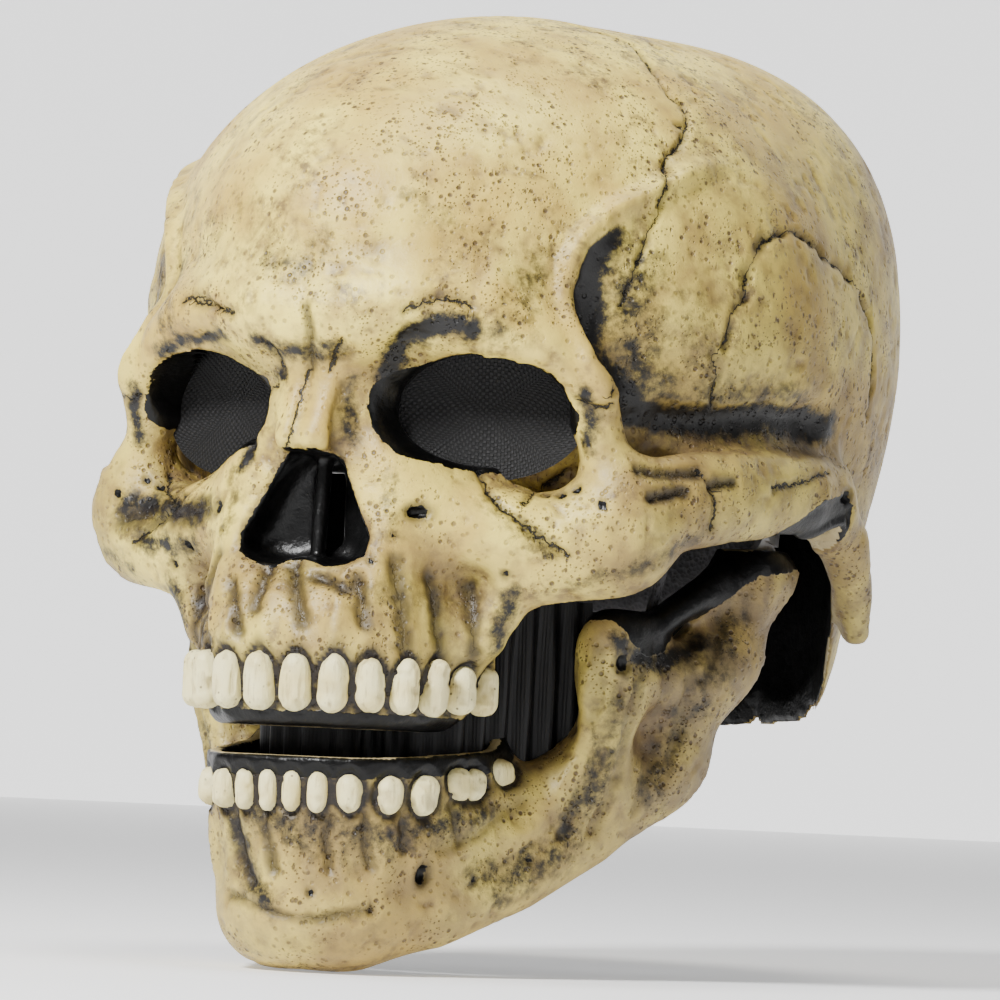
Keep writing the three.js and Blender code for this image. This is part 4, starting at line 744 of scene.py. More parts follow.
def build_jaw():
    pts, quads = biggest(*surface(jaw_shell, (-100, -146, -146), (100, 40, -6), FINE * 0.92))
    d = jaw_outer(pts.astype(f32))
    outer = d > -0.9
    nrm = normals(pts, quads)
    pts = relax(pts, quads, 1, 0.5)
    cut = -poly(pts[:, 1], pts[:, 2], KEEP_JAW)
    y, z = pts[:, 1], pts[:, 2]
    notch = poly(y, z, JAW_NOTCH)
    black = 1 - ramp(notch, -1.5, 1.0)
    black = np.maximum(black, (y < -70) * (z > -84) * (1 - ramp(cut, 5.2, 6.6)))
    lip = (d < -0.7) & (d > -SKIN_T + 0.5)
    edge = np.where(lip & (cut < 2.0), 1.0, 0.0)
    black = np.where(d <= -SKIN_T + 0.5, 1.0, black)
    black = np.where(lip & (edge < 0.5), 1.0, black)
    disp, dark, blk, shade, crack, cmask = carve(pts, nrm, "j", outer, d <= -SKIN_T + 0.5)
    tooth = lower_field(pts.astype(f32))
    low = (z > -99) * (y < -66) * outer
    dark = np.maximum(dark, (1 - ramp(tooth, 1.5, 3.0)) * low)
    dark = np.maximum(dark, 0.5 * (1 - ramp(tooth, 2.5, 6.0)) * low)
    disp += roots(pts, LOWER, -97.0, -110.0, 1.1) * outer
    disp -= 0.9 * (1 - ramp(np.abs(tooth - 0.6), 0.6, 1.6)) * low
    hol = hollows(pts, nrm, jaw_outer, outer)
    rough = pocks(pts.astype(f32)) * (1 - black * 0.8) * outer
    keep = np.where(outer, ramp(cut, 0.3, 2.6), 1.0)
    pts = pts + nrm * ((disp - 0.9 * rough) * keep)[:, None]
    # darker towards the back of the jaw: painted shade where the light falls off, over the browner colour of the jaw
    tone = 0.45 + 0.35 * ramp(y, -90, -20)
    obj = mesh_object("jaw_skin", pts, quads)
    floats(obj, black=np.maximum(black, blk), dark=dark, shade=shade, tone=tone, crack=crack, cmask=cmask, hollow=hol, edge=edge, pock=np.clip(rough * 1.6, 0, 1))
    return obj


def build_teeth(name, fn, lo, hi):
    pts, quads = surface(fn, lo, hi, 0.55, mirror=False)
    p = pts.astype(f32)
    nrm = normals(pts, quads)
    chip = ramp(noise(p, 2.4, 31), 0.62, 0.88) * 0.4 + ramp(noise(p, 5.0, 32), 0.62, 0.85) * 0.4
    streak = noise(p * np.array([1, 1, 0.18], f32), 0.9, 33)
    pts = pts - nrm * (chip + 0.18 * streak)[:, None]
    obj = mesh_object(name, pts, quads)
    ends = np.abs(pts[:, 2] - (lo[2] + hi[2]) / 2) / ((hi[2] - lo[2]) / 2)
    floats(obj, chip=np.clip(chip, 0, 1), ends=ends)
    return obj


# ------------------------------------------------------------------ materials
class Nodes:
    """A short way to write a node tree."""

    def __init__(self, name):
        self.mat = bpy.data.materials.new(name)
        self.mat.use_nodes = True
        self.t = self.mat.node_tree
        self.b = self.t.nodes["Principled BSDF"]
        self.co = self.add("ShaderNodeTexCoord").outputs["Object"]

    def add(self, kind, **props):
        n = self.t.nodes.new(kind)
        for k, v in props.items():
            setattr(n, k, v)
        return n

    def link(self, a, b):
        self.t.links.new(a, b)

    def put(self, sock, v):
        if hasattr(v, "is_output"):
            self.link(v, sock)
        else:
            sock.default_value = v

    def attr(self, name):
        return self.add("ShaderNodeAttribute", attribute_name=name).outputs["Fac"]

    def stretch(self, sx, sy, sz):
        m = self.add("ShaderNodeMapping")
        m.inputs["Scale"].default_value = (sx, sy, sz)
        self.link(self.co, m.inputs["Vector"])
        return m.outputs["Vector"]

    def noise(self, wave_mm, detail=3.0, rough=0.55, vec=None, distort=0.0):
        n = self.add("ShaderNodeTexNoise")
        n.inputs["Scale"].default_value = 1000.0 / wave_mm
        n.inputs["Detail"].default_value = detail
        n.inputs["Roughness"].default_value = rough
        n.inputs["Distortion"].default_value = distort
        self.link(vec or self.co, n.inputs["Vector"])
        return n.outputs["Fac"]

    def cells(self, wave_mm, vec=None, feature="F1", random=1.0):
        n = self.add("ShaderNodeTexVoronoi", feature=feature)
        n.inputs["Scale"].default_value = 1000.0 / wave_mm
        n.inputs["Randomness"].default_value = random
        self.link(vec or self.co, n.inputs["Vector"])
        return n.outputs["Distance"]

    def math(self, op, a, b=0.0, clamp=False):
        n = self.add("ShaderNodeMath", operation=op, use_clamp=clamp)
        self.put(n.inputs[0], a)
        self.put(n.inputs[1], b)
        return n.outputs[0]

    def step(self, v, a, b, lo=0.0, hi=1.0):
        n = self.add("ShaderNodeMapRange", interpolation_type="SMOOTHSTEP")
        self.put(n.inputs["Value"], v)
        n.inputs["From Min"].default_value = a
        n.inputs["From Max"].default_value = b
        n.inputs["To Min"].default_value = lo
        n.inputs["To Max"].default_value = hi
        return n.outputs["Result"]

    def mix(self, f, a, b, blend="MIX"):
        n = self.add("ShaderNodeMix", data_type="RGBA", blend_type=blend)
        self.put(n.inputs[0], f)
        self.put(n.inputs[6], a)
        self.put(n.inputs[7], b)
        return n.outputs[2]

    def bump(self, height, dist_mm, strength=1.0, prev=None):
        n = self.add("ShaderNodeBump")
        n.inputs["Strength"].default_value = strength
        n.inputs["Distance"].default_value = dist_mm / 1000.0
        self.link(height, n.inputs["Height"])
        if prev is not None:
            self.link(prev, n.inputs["Normal"])
        return n.outputs["Normal"]

    def done(self, color, rough, normal=None, **more):
        self.put(self.b.inputs["Base Color"], color)
        self.put(self.b.inputs["Roughness"], rough)
        if normal is not None:
            self.link(normal, self.b.inputs["Normal"])
        for k, v in more.items():
            self.put(self.b.inputs[k.replace("_", " ")], v)
        return self.mat


def rgb(r, g, b):
    f = lambda c: c / 255 / 12.92 if c / 255 <= 0.04045 else ((c / 255 + 0.055) / 1.055) ** 2.4
    return (f(r), f(g), f(b), 1.0)


def latex_bone():
    m = Nodes("bone_latex")
    big, mid, fine = m.noise(38, 3), m.noise(12, 4, 0.6), m.noise(3.2, 4, 0.65)
    col = m.mix(m.step(big, 0.34, 0.66), rgb(204, 172, 80), rgb(252, 228, 110))
    col = m.mix(m.step(mid, 0.44, 0.76, 0, 0.7), col, rgb(164, 134, 72))
    stain = m.math("MULTIPLY", m.step(m.noise(21, 5, 0.68, distort=0.5), 0.53, 0.70), m.step(fine, 0.34, 0.62))
    col = m.mix(m.math("MULTIPLY", stain, 0.84), col, rgb(98, 78, 50))
    # brown-grey lower down and at the sides: painted shade where the light falls off, over the browner colour of the
    # lower face and jaw
    col = m.mix(m.math("MULTIPLY", m.attr("tone"), m.step(mid, 0.3, 0.6, 0.65, 1.0)), col, rgb(116, 100, 76))
    # painted shade: the sides of the head are painted darker, where the light falls off at the temples
    side = m.add("ShaderNodeSeparateXYZ")
    m.link(m.co, side.inputs[0])
    side_shade = m.step(m.math("ABSOLUTE", side.outputs[0]), 0.058, 0.102)
    col = m.mix(m.math("MULTIPLY", side_shade, m.step(mid, 0.3, 0.7, 0.30, 0.52)), col, rgb(84, 70, 48))
    # fine pits, gathered in patches
    clus = m.step(m.noise(17, 3), 0.43, 0.60)
    pits = m.math("SUBTRACT", 1.0, m.step(m.cells(2.9, random=1.0), 0.14, 0.31))
    pits = m.math("MULTIPLY", pits, m.step(m.noise(5.5, 2), 0.38, 0.50))
    dash = m.math("SUBTRACT", 1.0, m.step(m.cells(3.6, vec=m.stretch(1.7, 1.7, 0.62)), 0.08, 0.22))
    dash = m.math("MULTIPLY", dash, m.math("MULTIPLY", clus, m.step(m.noise(7, 2), 0.42, 0.55)))
    small = m.math("SUBTRACT", 1.0, m.step(m.cells(1.25), 0.12, 0.30))
    small = m.math("MULTIPLY", small, clus)
    allpit = m.math("MAXIMUM", m.math("MAXIMUM", m.math("MULTIPLY", pits, m.step(clus, 0, 1, 0.45, 1.0)), dash), m.math("MULTIPLY", small, 0.75), clamp=True)
    col = m.mix(m.math("MULTIPLY", allpit, 0.9), col, rgb(74, 56, 36))
    # painted shade: the outside is darkened in its recesses, by how sunken each point is
    hol = m.attr("hollow")
    col = m.mix(m.math("MULTIPLY", m.step(hol, 0.10, 0.95), m.step(fine, 0.2, 0.75, 0.45, 0.92)), col, rgb(92, 72, 48))
    pk = m.attr("pock")
    col = m.mix(m.math("MULTIPLY", pk, m.step(fine, 0.3, 0.6, 0.15, 0.7)), col, rgb(112, 90, 60))
    # painted shade in the soft hollows, together with the mask's airbrushed dark
    shade = m.math("ADD", m.attr("shade"), m.step(m.noise(4.2, 5, 0.7), 0.3, 0.7, -0.26, 0.16))
    col = m.mix(m.step(shade, 0.12, 0.78), col, rgb(12, 10, 9))
    dk = m.math("MULTIPLY", m.attr("dark"), m.step(m.noise(2.4, 3), 0.2, 0.5, 0.8, 1.0))
    col = m.mix(dk, col, rgb(26, 18, 12))
    # crisp cracks, drawn from the signed distance to each line
    sd = m.math("ADD", m.attr("crack"), m.step(m.noise(2.4, 4, 0.6), 0.25, 0.75, -0.9, 0.9))
    thin = m.math("SUBTRACT", 1.0, m.step(m.math("ABSOLUTE", sd), 0.16, 0.62))
    thin = m.math("MULTIPLY", thin, m.step(m.attr("cmask"), 0.12, 0.5))
    col = m.mix(m.math("MULTIPLY", thin, 0.96), col, rgb(10, 7, 5))
    # black latex
    ragged = m.math("ADD", m.attr("black"), m.step(m.noise(3.0, 3), 0.3, 0.7, -0.22, 0.22))
    blk = m.step(ragged, 0.42, 0.60)
    bcol = m.mix(m.step(m.noise(8, 3), 0.4, 0.75), rgb(4, 4, 4), rgb(12, 11, 11))
    col = m.mix(blk, col, bcol)
    ed = m.step(m.attr("edge"), 0.35, 0.65)
    col = m.mix(ed, col, m.mix(fine, rgb(150, 134, 98), rgb(190, 174, 132)))
    rough = m.math("ADD", m.math("MULTIPLY", m.noise(5, 3), 0.2), 0.36)
    rough = m.math("SUBTRACT", rough, m.math("MULTIPLY", blk, 0.12))
    solid = m.math("SUBTRACT", 1.0, blk)
    h = m.math("SUBTRACT", m.math("MULTIPLY", fine, 0.35), m.math("MULTIPLY", m.math("MULTIPLY", allpit, solid), 0.9))
    h = m.math("SUBTRACT", h, m.math("MULTIPLY", thin, 1.3))
    n1 = m.bump(h, 0.6, 0.9)
    n2 = m.bump(m.noise(0.9, 3, 0.6), 0.12, 0.7, n1)
    n3 = m.bump(m.math("MULTIPLY", blk, m.noise(4.5, 3)), 0.7, 0.5, n2)
    return m.done(col, rough, n3, Specular_IOR_Level=m.math("SUBTRACT", 0.45, m.math("MULTIPLY", blk, 0.2)), Coat_Weight=m.math("MULTIPLY", blk, 0.06), Coat_Roughness=0.25)


def teeth_mat():
    m = Nodes("tooth_latex")
    col = m.mix(m.step(m.noise(9, 3), 0.35, 0.7), rgb(246, 236, 178), rgb(232, 216, 150))
    streak = m.noise(1.4, 4, 0.6, vec=m.stretch(1, 1, 0.16))
    col = m.mix(m.step(streak, 0.52, 0.72, 0, 0.5), col, rgb(160, 138, 98))
    spots = m.math("SUBTRACT", 1.0, m.step(m.cells(2.6), 0.08, 0.2))
    spots = m.math("MULTIPLY", spots, m.step(m.noise(6, 2), 0.48, 0.62))
    col = m.mix(m.math("MULTIPLY", spots, 0.8), col, rgb(66, 50, 34))
    col = m.mix(m.math("MULTIPLY", m.step(m.attr("ends"), 0.74, 1.02), 0.72), col, rgb(120, 98, 64))
    col = m.mix(m.math("MULTIPLY", m.attr("chip"), 0.55), col, rgb(150, 128, 90))
    n1 = m.bump(streak, 0.35, 0.8)
    n2 = m.bump(m.noise(1.0, 3), 0.2, 0.7, n1)
    return m.done(col, 0.52, n2, Specular_IOR_Level=0.35)


def black_latex():
    m = Nodes("black_latex")
    col = m.mix(m.step(m.noise(7, 3), 0.35, 0.7), rgb(8, 8, 8), rgb(22, 20, 20))
    return m.done(col, m.step(m.noise(4, 3), 0.3, 0.7, 0.28, 0.46), m.bump(m.noise(2.2, 4), 0.5, 0.8))


def foam():
    m = Nodes("foam")
    cell = m.cells(1.5)
    col = m.mix(m.step(m.noise(12, 3), 0.35, 0.7), rgb(48, 47, 49), rgb(70, 68, 69))
    col = m.mix(m.step(cell, 0.15, 0.45, 0.5, 0), col, rgb(20, 20, 21))
    return m.done(col, 0.95, m.bump(cell, 0.5, 0.9), Sheen_Weight=0.15)


def weave(name, warp, weft, pitch, vec_scale=(1, 1, 1), rough=0.85, gloss=0.2):
    m = Nodes(name)
    uv = m.add("ShaderNodeTexCoord").outputs["UV"]
    sep = m.add("ShaderNodeSeparateXYZ")
    m.link(uv, sep.inputs[0])
    sx = m.math("SINE", m.math("MULTIPLY", sep.outputs[0], 2 * math.pi / pitch))
    sy = m.math("SINE", m.math("MULTIPLY", sep.outputs[1], 2 * math.pi / pitch))
    w = m.step(m.math("MULTIPLY", sx, sy), -0.5, 0.5)
    col = m.mix(w, warp, weft)
    col = m.mix(m.step(m.noise(6, 3), 0.4, 0.75, 0, 0.5), col, (0.01, 0.01, 0.01, 1))
    return m.done(col, rough, m.bump(m.math("ADD", w, m.noise(0.5, 2)), 0.25, 0.8), Sheen_Weight=gloss)


def metal(name, base, worn):
    m = Nodes(name)
    sc = m.noise(1.2, 4, 0.7, vec=m.stretch(1, 0.2, 1))
    col = m.mix(m.step(m.noise(5, 4), 0.45, 0.7, 0, 0.6), base, worn)
    return m.done(col, m.step(sc, 0.3, 0.7, 0.28, 0.5), m.bump(sc, 0.08, 0.6), Metallic=0.95)


def plastic(name, a, b, rough):
    m = Nodes(name)
    col = m.mix(m.step(m.noise(6, 3), 0.35, 0.7), a, b)
    return m.done(col, m.step(m.noise(2, 3), 0.3, 0.7, rough - 0.08, rough + 0.1), m.bump(m.noise(1.2, 3), 0.12, 0.7))


def assign(o, mat):
    o.data.materials.clear()
    o.data.materials.append(mat)
    return o


# ------------------------------------------------------------------ the skins and teeth
BONE, TEETH, BLACK = latex_bone(), teeth_mat(), black_latex()
skull = assign(build_skull(), BONE)
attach(skull, "cranium"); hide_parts("skull_shell")
jaw = assign(build_jaw(), BONE)
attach(jaw, "jaw"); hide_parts("jaw_shell")
up = assign(build_teeth("upper_teeth", upper_field, (-60, -152, -72), (60, -76, -43)), TEETH)
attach(up, "cranium")
lo = assign(build_teeth("lower_teeth", lower_field, (-60, -146, -100), (60, -66, -76)), TEETH)
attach(lo, "jaw")


# ------------------------------------------------------------------ cloth
def grid_sheet(name, P):
    """A sheet from a grid of points (rows, columns, 3), with a flat layout in metres as its UV map."""
    r, c = P.shape[:2]
    i = np.arange(r * c).reshape(r, c)
    q = np.stack([i[:-1, :-1], i[:-1, 1:], i[1:, 1:], i[1:, :-1]], -1).reshape(-1, 4)
    o = mesh_object(name, P.reshape(-1, 3), q)
    u = np.concatenate([[0], np.cumsum(np.linalg.norm(np.diff(P[r // 2], axis=0), axis=1))])
    v = np.concatenate([[0], np.cumsum(np.linalg.norm(np.diff(P[:, c // 2], axis=0), axis=1))])
    uv = np.stack(np.meshgrid(u, v), -1).reshape(-1, 2) / 1000.0
    loops = np.zeros(len(o.data.loops), np.int32)
    o.data.loops.foreach_get("vertex_index", loops)
    layer = o.data.uv_layers.new(name="flat")
    layer.data.foreach_set("uv", uv[loops].astype(f32).ravel())
    area = 0.5 * (np.linalg.norm(np.cross(P[1:, 1:] - P[:-1, :-1], P[1:, :-1] - P[:-1, 1:]), axis=2)).sum() / 1e6
    return o, area, u[-1] / 1000, v[-1] / 1000


def resample(pts, step):
    """Even points along a smoothed line through pts."""
    p = np.array(pts, float)
    for _ in range(3):                                    # corner cutting
        q = np.empty((2 * len(p), p.shape[1]))
        q[0::2], q[1::2] = p, p
        q[1:-1:2] = 0.75 * p[:-1] + 0.25 * p[1:]
        q[2:-1:2] = 0.25 * p[:-1] + 0.75 * p[1:]
        p = q
    s = np.concatenate([[0], np.cumsum(np.linalg.norm(np.diff(p, axis=0), axis=1))])
    keep = np.concatenate([[True], np.diff(s) > 1e-9])
    p, s = p[keep], s[keep]
    t = np.linspace(0, s[-1], int(s[-1] / step) + 1)
    return np.stack([np.interp(t, s, p[:, k]) for k in range(p.shape[1])], 1), t


def eye_mesh_sheet(side, sgn):
    step = 0.5
    a = np.arange(-28.5, 28.5 + step / 2, step)
    b = np.arange(-19.5, 19.5 + step / 2, step)
    A, Bv = np.meshgrid(a, b)
    r2 = (A / 28.5) ** 2 + (Bv / 19.5) ** 2
    g = 1 / np.maximum(1, np.sqrt(np.maximum((A / 28.5) ** 2, (Bv / 19.5) ** 2) + 1e-9) * 0 + np.where(r2 > 0, np.sqrt(r2) / np.maximum(np.abs(A / 28.5), np.abs(Bv / 19.5)).clip(1e-6), 1))
    A, Bv = A * g, Bv * g                                  # square grid drawn into an oval
    r2 = (A / 28.5) ** 2 + (Bv / 19.5) ** 2
    knit = 0.10 * np.cos(2 * np.pi * A / 2.2) * np.cos(2 * np.pi * Bv / 1.9)
    D = 6.6 + 1.8 * (1 - r2) + knit
    c, s = math.cos(math.radians(EYE["yaw"])), math.sin(math.radians(EYE["yaw"]))
    A = A + 0.6
    X = EYE["at"][0] + A * c - D * s
    Y = EYE["at"][1] + A * s + D * c
    P = np.stack([sgn * X, Y, EYE["at"][2] + Bv], -1)
    o, area, w, l = grid_sheet("eye_cloth_" + side, P)
    assign(o, EYE_CLOTH)
    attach(o, "cranium"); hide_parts("eye_mesh_" + side)


def knit_mat(name, a, b, pitch):
    """Open knit: rounded yarn diamonds with dark holes between them."""
    m = Nodes(name)
    uv = m.add("ShaderNodeTexCoord").outputs["UV"]
    sep = m.add("ShaderNodeSeparateXYZ")
    m.link(uv, sep.inputs[0])
    sx = m.math("COSINE", m.math("MULTIPLY", sep.outputs[0], 2 * math.pi / pitch))
    sy = m.math("COSINE", m.math("MULTIPLY", sep.outputs[1], 2 * math.pi / (pitch * 0.86)))
    hole = m.step(m.math("MULTIPLY", sx, sy), -0.15, 0.45)
    yarn = m.noise(0.35, 2)
    col = m.mix(hole, a, b)
    col = m.mix(m.step(yarn, 0.4, 0.7, 0, 0.4), col, (0.002, 0.002, 0.002, 1))
    h = m.math("ADD", hole, m.math("MULTIPLY", yarn, 0.4))
    return m.done(col, 0.6, m.bump(h, 0.4, 0.9), Specular_IOR_Level=0.35)


def stretch_mat():
    m = Nodes("stretch_fabric")
    uv = m.add("ShaderNodeTexCoord").outputs["UV"]
    sep = m.add("ShaderNodeSeparateXYZ")
    m.link(uv, sep.inputs[0])
    sx = m.math("SINE", m.math("MULTIPLY", sep.outputs[0], 2 * math.pi / 0.0011))
    rib = m.math("ADD", m.math("MULTIPLY", sx, 0.4), m.noise(0.6, 2))
    col = m.mix(m.step(m.noise(9, 3), 0.35, 0.7), rgb(6, 6, 7), rgb(12, 11, 13))
    return m.done(col, 0.55, m.bump(rib, 0.1, 0.7), Specular_IOR_Level=0.4)


EYE_CLOTH = knit_mat("eye_mesh", rgb(1, 1, 1), rgb(34, 33, 34), 0.0022)
STRETCH = stretch_mat()
for side, sgn in (("left", 1), ("right", -1)):
    eye_mesh_sheet(side, sgn)

# The black lining between the skull and the jaw, gathered in soft upright folds.
LINE = [(52, -46), (48, -55), (43, -64), (38, -73), (34, -82), (28, -92), (16, -99), (0, -102),
        (-16, -99), (-28, -92), (-34, -82), (-38, -73), (-43, -64), (-48, -55), (-52, -46)]


def lining():
    line, t = resample(LINE, 0.9)
    tang = np.gradient(line, axis=0)
    tang /= np.linalg.norm(tang, axis=1)[:, None]
    nor = np.stack([-tang[:, 1], tang[:, 0]], 1)
    z = np.arange(-88.0, -29.0, 1.6)
    P = np.zeros((len(z), len(t), 3))
    for k, zz in enumerate(z):
        ph = noise(np.stack([t * 1.0, np.full(len(t), zz * 0.35), np.zeros(len(t))], 1).astype(f32), 16.0, 41)
        end = math.sin(math.pi * (zz + 88.5) / 60.0)
        am = (0.7 + 1.1 * max(end, 0)) * (0.6 + 0.8 * noise(np.stack([t, np.zeros(len(t)), np.zeros(len(t))], 1).astype(f32), 21.0, 42))
        off = am * np.sin(2 * np.pi * (t / 8.5 + 1.1 * ph))
        P[k, :, :2] = line + nor * off[:, None]
        # the front hangs lower, behind the lower gum, so that no gap opens under it
        deep = np.clip((34.0 - np.abs(line[:, 0])) / 10.0, 0, 1)
        P[k, :, 2] = zz + min(zz + 70.0, 0.0) * deep * 0.9
    return grid_sheet("mouth_lining_cloth", P[::-1].copy())


lin, area, w, l = lining()
assign(lin, STRETCH)
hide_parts(*[n for n in N if n.startswith("cheek_gusset") or n.startswith("mouth_lining")])
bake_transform(lin)

# The head strap: a flat woven elastic band round the back of the wearer's head.
STRAP = [(91.9, 25, 18), (91.5, 32, 18), (90.6, 40, 18), (84, 58, 19), (66, 76, 20), (46, 88, 21), (22, 95, 22), (0, 97, 22)]


def strap():
    full = STRAP + [(-x, y, z) for x, y, z in STRAP[-2::-1]]
    line, t = resample(full, 1.2)
    tang = np.gradient(line, axis=0)
    tang /= np.linalg.norm(tang, axis=1)[:, None]
    nor = np.cross(tang, (0, 0, 1))
    P = []
    for k in np.linspace(-7.8, 7.8, 21):
        rib = 0.16 * np.sin(2 * np.pi * t / 2.6) + 0.10 * math.cos(2 * math.pi * k / 1.56) + (0.25 if abs(k) > 6.6 else 0)
        P.append(line + nor * rib[:, None] + np.array([0, 0, k]))
    return grid_sheet("strap_cloth", np.array(P))


band, area, w, l = strap()
assign(band, weave("webbing", rgb(18, 18, 19), rgb(52, 51, 53), 0.0013))
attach(band, "cranium"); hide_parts("head_strap")

# ------------------------------------------------------------------ closing elastics
ELASTIC = (0.0077, 0.0)


def elastic(side, sgn):
    a, b = np.array((77.0 * sgn, -34, 12)), np.array((58.0 * sgn, -34, -58))
    d = (b - a) / np.linalg.norm(b - a)
    u = np.cross(d, (0, 1, 0)); u /= np.linalg.norm(u)
    v = np.cross(d, u)
    L = np.linalg.norm(b - a)
    s = np.linspace(0, L, 120)
    ang = np.linspace(0, 2 * np.pi, 20, endpoint=False)
    S, A = np.meshgrid(s, ang, indexing="ij")
    knot = np.exp(-((S - 1.5) / 2.0) ** 2) + np.exp(-((S - L + 1.5) / 2.0) ** 2)
    r = 1.55 + 0.14 * np.cos(3 * A + S * 2.2) * np.cos(3 * A - S * 2.2) + 0.9 * knot
    P = a + S[..., None] * d + r[..., None] * (np.cos(A)[..., None] * u + np.sin(A)[..., None] * v)
    n, k = P.shape[:2]
    i = np.arange(n * k).reshape(n, k)
    j = np.roll(i, -1, 1)
    q = np.stack([i[:-1], i[1:], j[1:], j[:-1]], -1).reshape(-1, 4)
    pts = np.concatenate([P.reshape(-1, 3), [a, b]])
    ca, cb = n * k, n * k + 1
    caps = [[ca, i[0, x], j[0, x], ca] for x in range(k)] + [[cb, j[-1, x], i[-1, x], cb] for x in range(k)]
    tri = np.array([c[:3] for c in caps])
    me = bpy.data.meshes.new("closing_elastic_" + side)
    me.from_pydata(row(pts).tolist(), [], q.tolist() + tri.tolist())
    me.update()
    me.polygons.foreach_set("use_smooth", np.full(len(me.polygons), True))
    o = bpy.data.objects.new("closing_elastic_" + side, me)
    bpy.context.scene.collection.objects.link(o)
    assign(o, CORD)
    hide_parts("jaw_elastic_" + side)
    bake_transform(o)


def cord_mat():
    m = Nodes("elastic_cord")
    band = m.step(m.cells(0.9, vec=m.stretch(1, 1, 0.5)), 0.1, 0.45)
    col = m.mix(band, rgb(24, 24, 26), rgb(60, 59, 62))
    return m.done(col, 0.8, m.bump(band, 0.2, 0.8), Sheen_Weight=0.1)


CORD = cord_mat()
for side, sgn in (("left", 1), ("right", -1)):
    elastic(side, sgn)


# ------------------------------------------------------------------ foam pads
def pad(node, body, voxel_mm=4.0):
    """A pad swollen from the CAD pad by a short pressure simulation, then softened."""
    src = N[node]
    me = src.data.copy()
    me.materials.clear()
    o = bpy.data.objects.new(node + "_foam", me)
    bpy.context.scene.collection.objects.link(o)
    co = np.zeros(len(me.vertices) * 3, f32)
    me.vertices.foreach_get("co", co)
    co = co.reshape(-1, 3)
    mid = (co.max(0) + co.min(0)) / 2
    ext = co.max(0) - co.min(0)
    start = mid + (co - mid) * (1 - 0.0014 / np.maximum(ext, 0.006))
    me.vertices.foreach_set("co", start.astype(f32).ravel())
    me.update()
    bpy.context.view_layer.objects.active = o
    for x in bpy.context.selected_objects:
        x.select_set(False)
    o.select_set(True)
    rm = o.modifiers.new("remesh", "REMESH")
    rm.mode, rm.voxel_size = "VOXEL", voxel_mm / 1000 * (0.75 if min(ext) < 0.012 else 1)
    bpy.ops.object.modifier_apply(modifier=rm.name)
    before = np.array([v.co for v in o.data.vertices])
    cl = o.modifiers.new("cloth", "CLOTH")
    st = cl.settings
    st.quality = 5
    st.mass = 0.25
    st.tension_stiffness = st.compression_stiffness = 25
    st.shear_stiffness = 12
    st.bending_stiffness = 6
    st.use_pressure = True
    st.uniform_pressure_force = 3.0
    st.effector_weights.gravity = 0
    cl.collision_settings.use_collision = False
    cl.point_cache.frame_start, cl.point_cache.frame_end = 1, 14
    for f in range(1, 15):
        bpy.context.scene.frame_set(f)
    dg = bpy.context.evaluated_depsgraph_get()
    after = np.array([v.co for v in o.evaluated_get(dg).data.vertices])
    o.modifiers.remove(cl)
    bpy.context.scene.frame_set(1)
    if len(after) == len(before):
        mv = after - before
        ln = np.linalg.norm(mv, axis=1)
        mv *= (np.minimum(ln, 0.0022) / np.maximum(ln, 1e-9))[:, None]
        o.data.vertices.foreach_set("co", (before + mv).astype(f32).ravel())
    sb = o.modifiers.new("sub", "SUBSURF")
    sb.levels = sb.render_levels = 1
    bpy.ops.object.modifier_apply(modifier=sb.name)
    lo_c, hi_c = co.min(0) - 0.001, co.max(0) + 0.001
    now = np.zeros(len(o.data.vertices) * 3, f32)
    o.data.vertices.foreach_get("co", now)
    now = now.reshape(-1, 3)
    grain = noise(now * 1000, 4.0, 51)[:, None] - 0.5
    now = now + 0.0004 * grain
    now = np.clip(now, lo_c, hi_c)
    o.data.vertices.foreach_set("co", now.astype(f32).ravel())
    o.data.polygons.foreach_set("use_smooth", np.full(len(o.data.polygons), True))
    o.data.update()
    assign(o, FOAM)
    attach(o, body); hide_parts(node)


FOAM = foam()
for node in sorted(N):
    if node.endswith("_pad") or "_pad_" in node:
        pad(node, "jaw" if node == "chin_pad" else "cranium")

# ------------------------------------------------------------------ hardware carried over from the frame
STEEL = metal("hinge_steel", (0.42, 0.42, 0.43, 1), (0.22, 0.21, 0.2, 1))
RIVET = metal("rivet_steel", (0.55, 0.53, 0.5, 1), (0.3, 0.28, 0.26, 1))
NYLON = plastic("washer_nylon", (0.75, 0.74, 0.7, 1), (0.62, 0.61, 0.58, 1), 0.4)
CUP = plastic("cup_plastic", (0.03, 0.03, 0.032, 1), (0.05, 0.05, 0.052, 1), 0.4)
for node, o in N.items():
    if o.hide_render:
        continue
    if node.startswith(("hinge_plate", "jaw_plate")):
        assign(o, STEEL)
    elif node.startswith("hinge_rivet"):
        assign(o, RIVET)
    elif node.startswith("hinge_washer"):
        assign(o, NYLON)
    elif node.startswith("chin_cup"):
        assign(o, CUP)
    else:
        assign(o, BLACK)


# ------------------------------------------------------------------ floor, light and camera
floor_z = min(float(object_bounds()[0][2]), CAD_LO[2]) - 0.0004
fm = Nodes("floor")
fm.done(fm.mix(fm.step(fm.noise(400, 2), 0.3, 0.7), (0.86, 0.86, 0.86, 1), (0.88, 0.88, 0.88, 1)), 0.9, Specular_IOR_Level=0.1, Emission_Color=(1, 1, 1, 1), Emission_Strength=0.3)
bpy.ops.mesh.primitive_plane_add(size=14, location=(0, 0, floor_z))
floor = bpy.context.object
floor.name = "floor"
assign(floor, fm.mat)

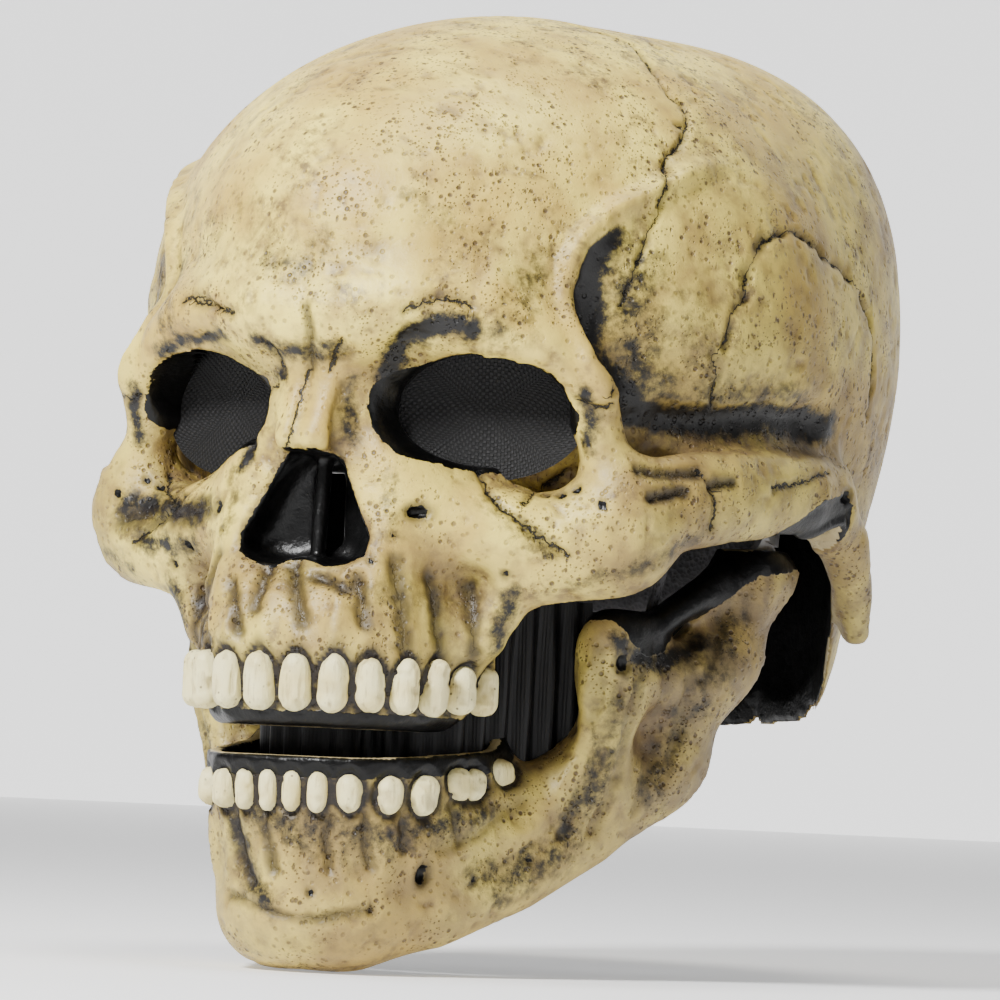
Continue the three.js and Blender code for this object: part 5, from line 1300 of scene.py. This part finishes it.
world = bpy.data.worlds.new("world")
bpy.context.scene.world = world
world.use_nodes = True
bg = world.node_tree.nodes["Background"]
bg.inputs[0].default_value = (1, 1, 1, 1)
bg.inputs[1].default_value = 0.15

wall = Nodes("backdrop")
wall.done((0.9, 0.9, 0.9, 1), 1.0, Emission_Color=(1, 1, 1, 1), Emission_Strength=1.15)
ang = np.radians(26.1 + np.linspace(-52, 52, 40))
ring = np.stack([-4.6 * np.sin(ang), 4.6 * np.cos(ang)], 1)
bm = bpy.data.meshes.new("backdrop")
bm.from_pydata([(x, y, z) for z in (floor_z - 0.001, 4.0) for x, y in ring], [],
               [(i, i + 1, 41 + i, 40 + i) for i in range(39)])
backdrop = bpy.data.objects.new("backdrop", bm)
bpy.context.scene.collection.objects.link(backdrop)
assign(backdrop, wall.mat)


def light(name, at, to, size, power):
    d = bpy.data.lights.new(name, "AREA")
    d.shape, d.size, d.energy = "DISK", size, power
    o = bpy.data.objects.new(name, d)
    bpy.context.scene.collection.objects.link(o)
    o.location = at
    o.rotation_mode = "QUATERNION"
    o.rotation_quaternion = (Vector(to) - Vector(at)).to_track_quat("-Z", "Y")


C = (0.0, -0.02, -0.12)
light("key", (-0.25, -1.25, 0.85), C, 0.35, 49)
light("fill", (1.6, -0.35, 0.15), C, 0.6, 2.5)
light("top", (0.1, 0.0, 1.4), C, 0.6, 12)

cam = bpy.data.cameras.new("camera")
cam.sensor_width, cam.sensor_fit, cam.lens = 36.0, "HORIZONTAL", 217.926
cam.shift_x, cam.shift_y = -0.005064, 0.003147
cam.clip_start, cam.clip_end = 0.1, 30
camera = bpy.data.objects.new("camera", cam)
bpy.context.scene.collection.objects.link(camera)
R, U, B = Vector((0.89760, 0.43849, 0.04527)), Vector((-0.02198, -0.05805, 0.99807)), Vector((0.44027, -0.89686, -0.04247))
camera.matrix_world = Matrix(((R.x, U.x, B.x, 0.797570), (R.y, U.y, B.y, -1.616741), (R.z, U.z, B.z, -0.204944), (0, 0, 0, 1)))
bpy.context.scene.camera = camera
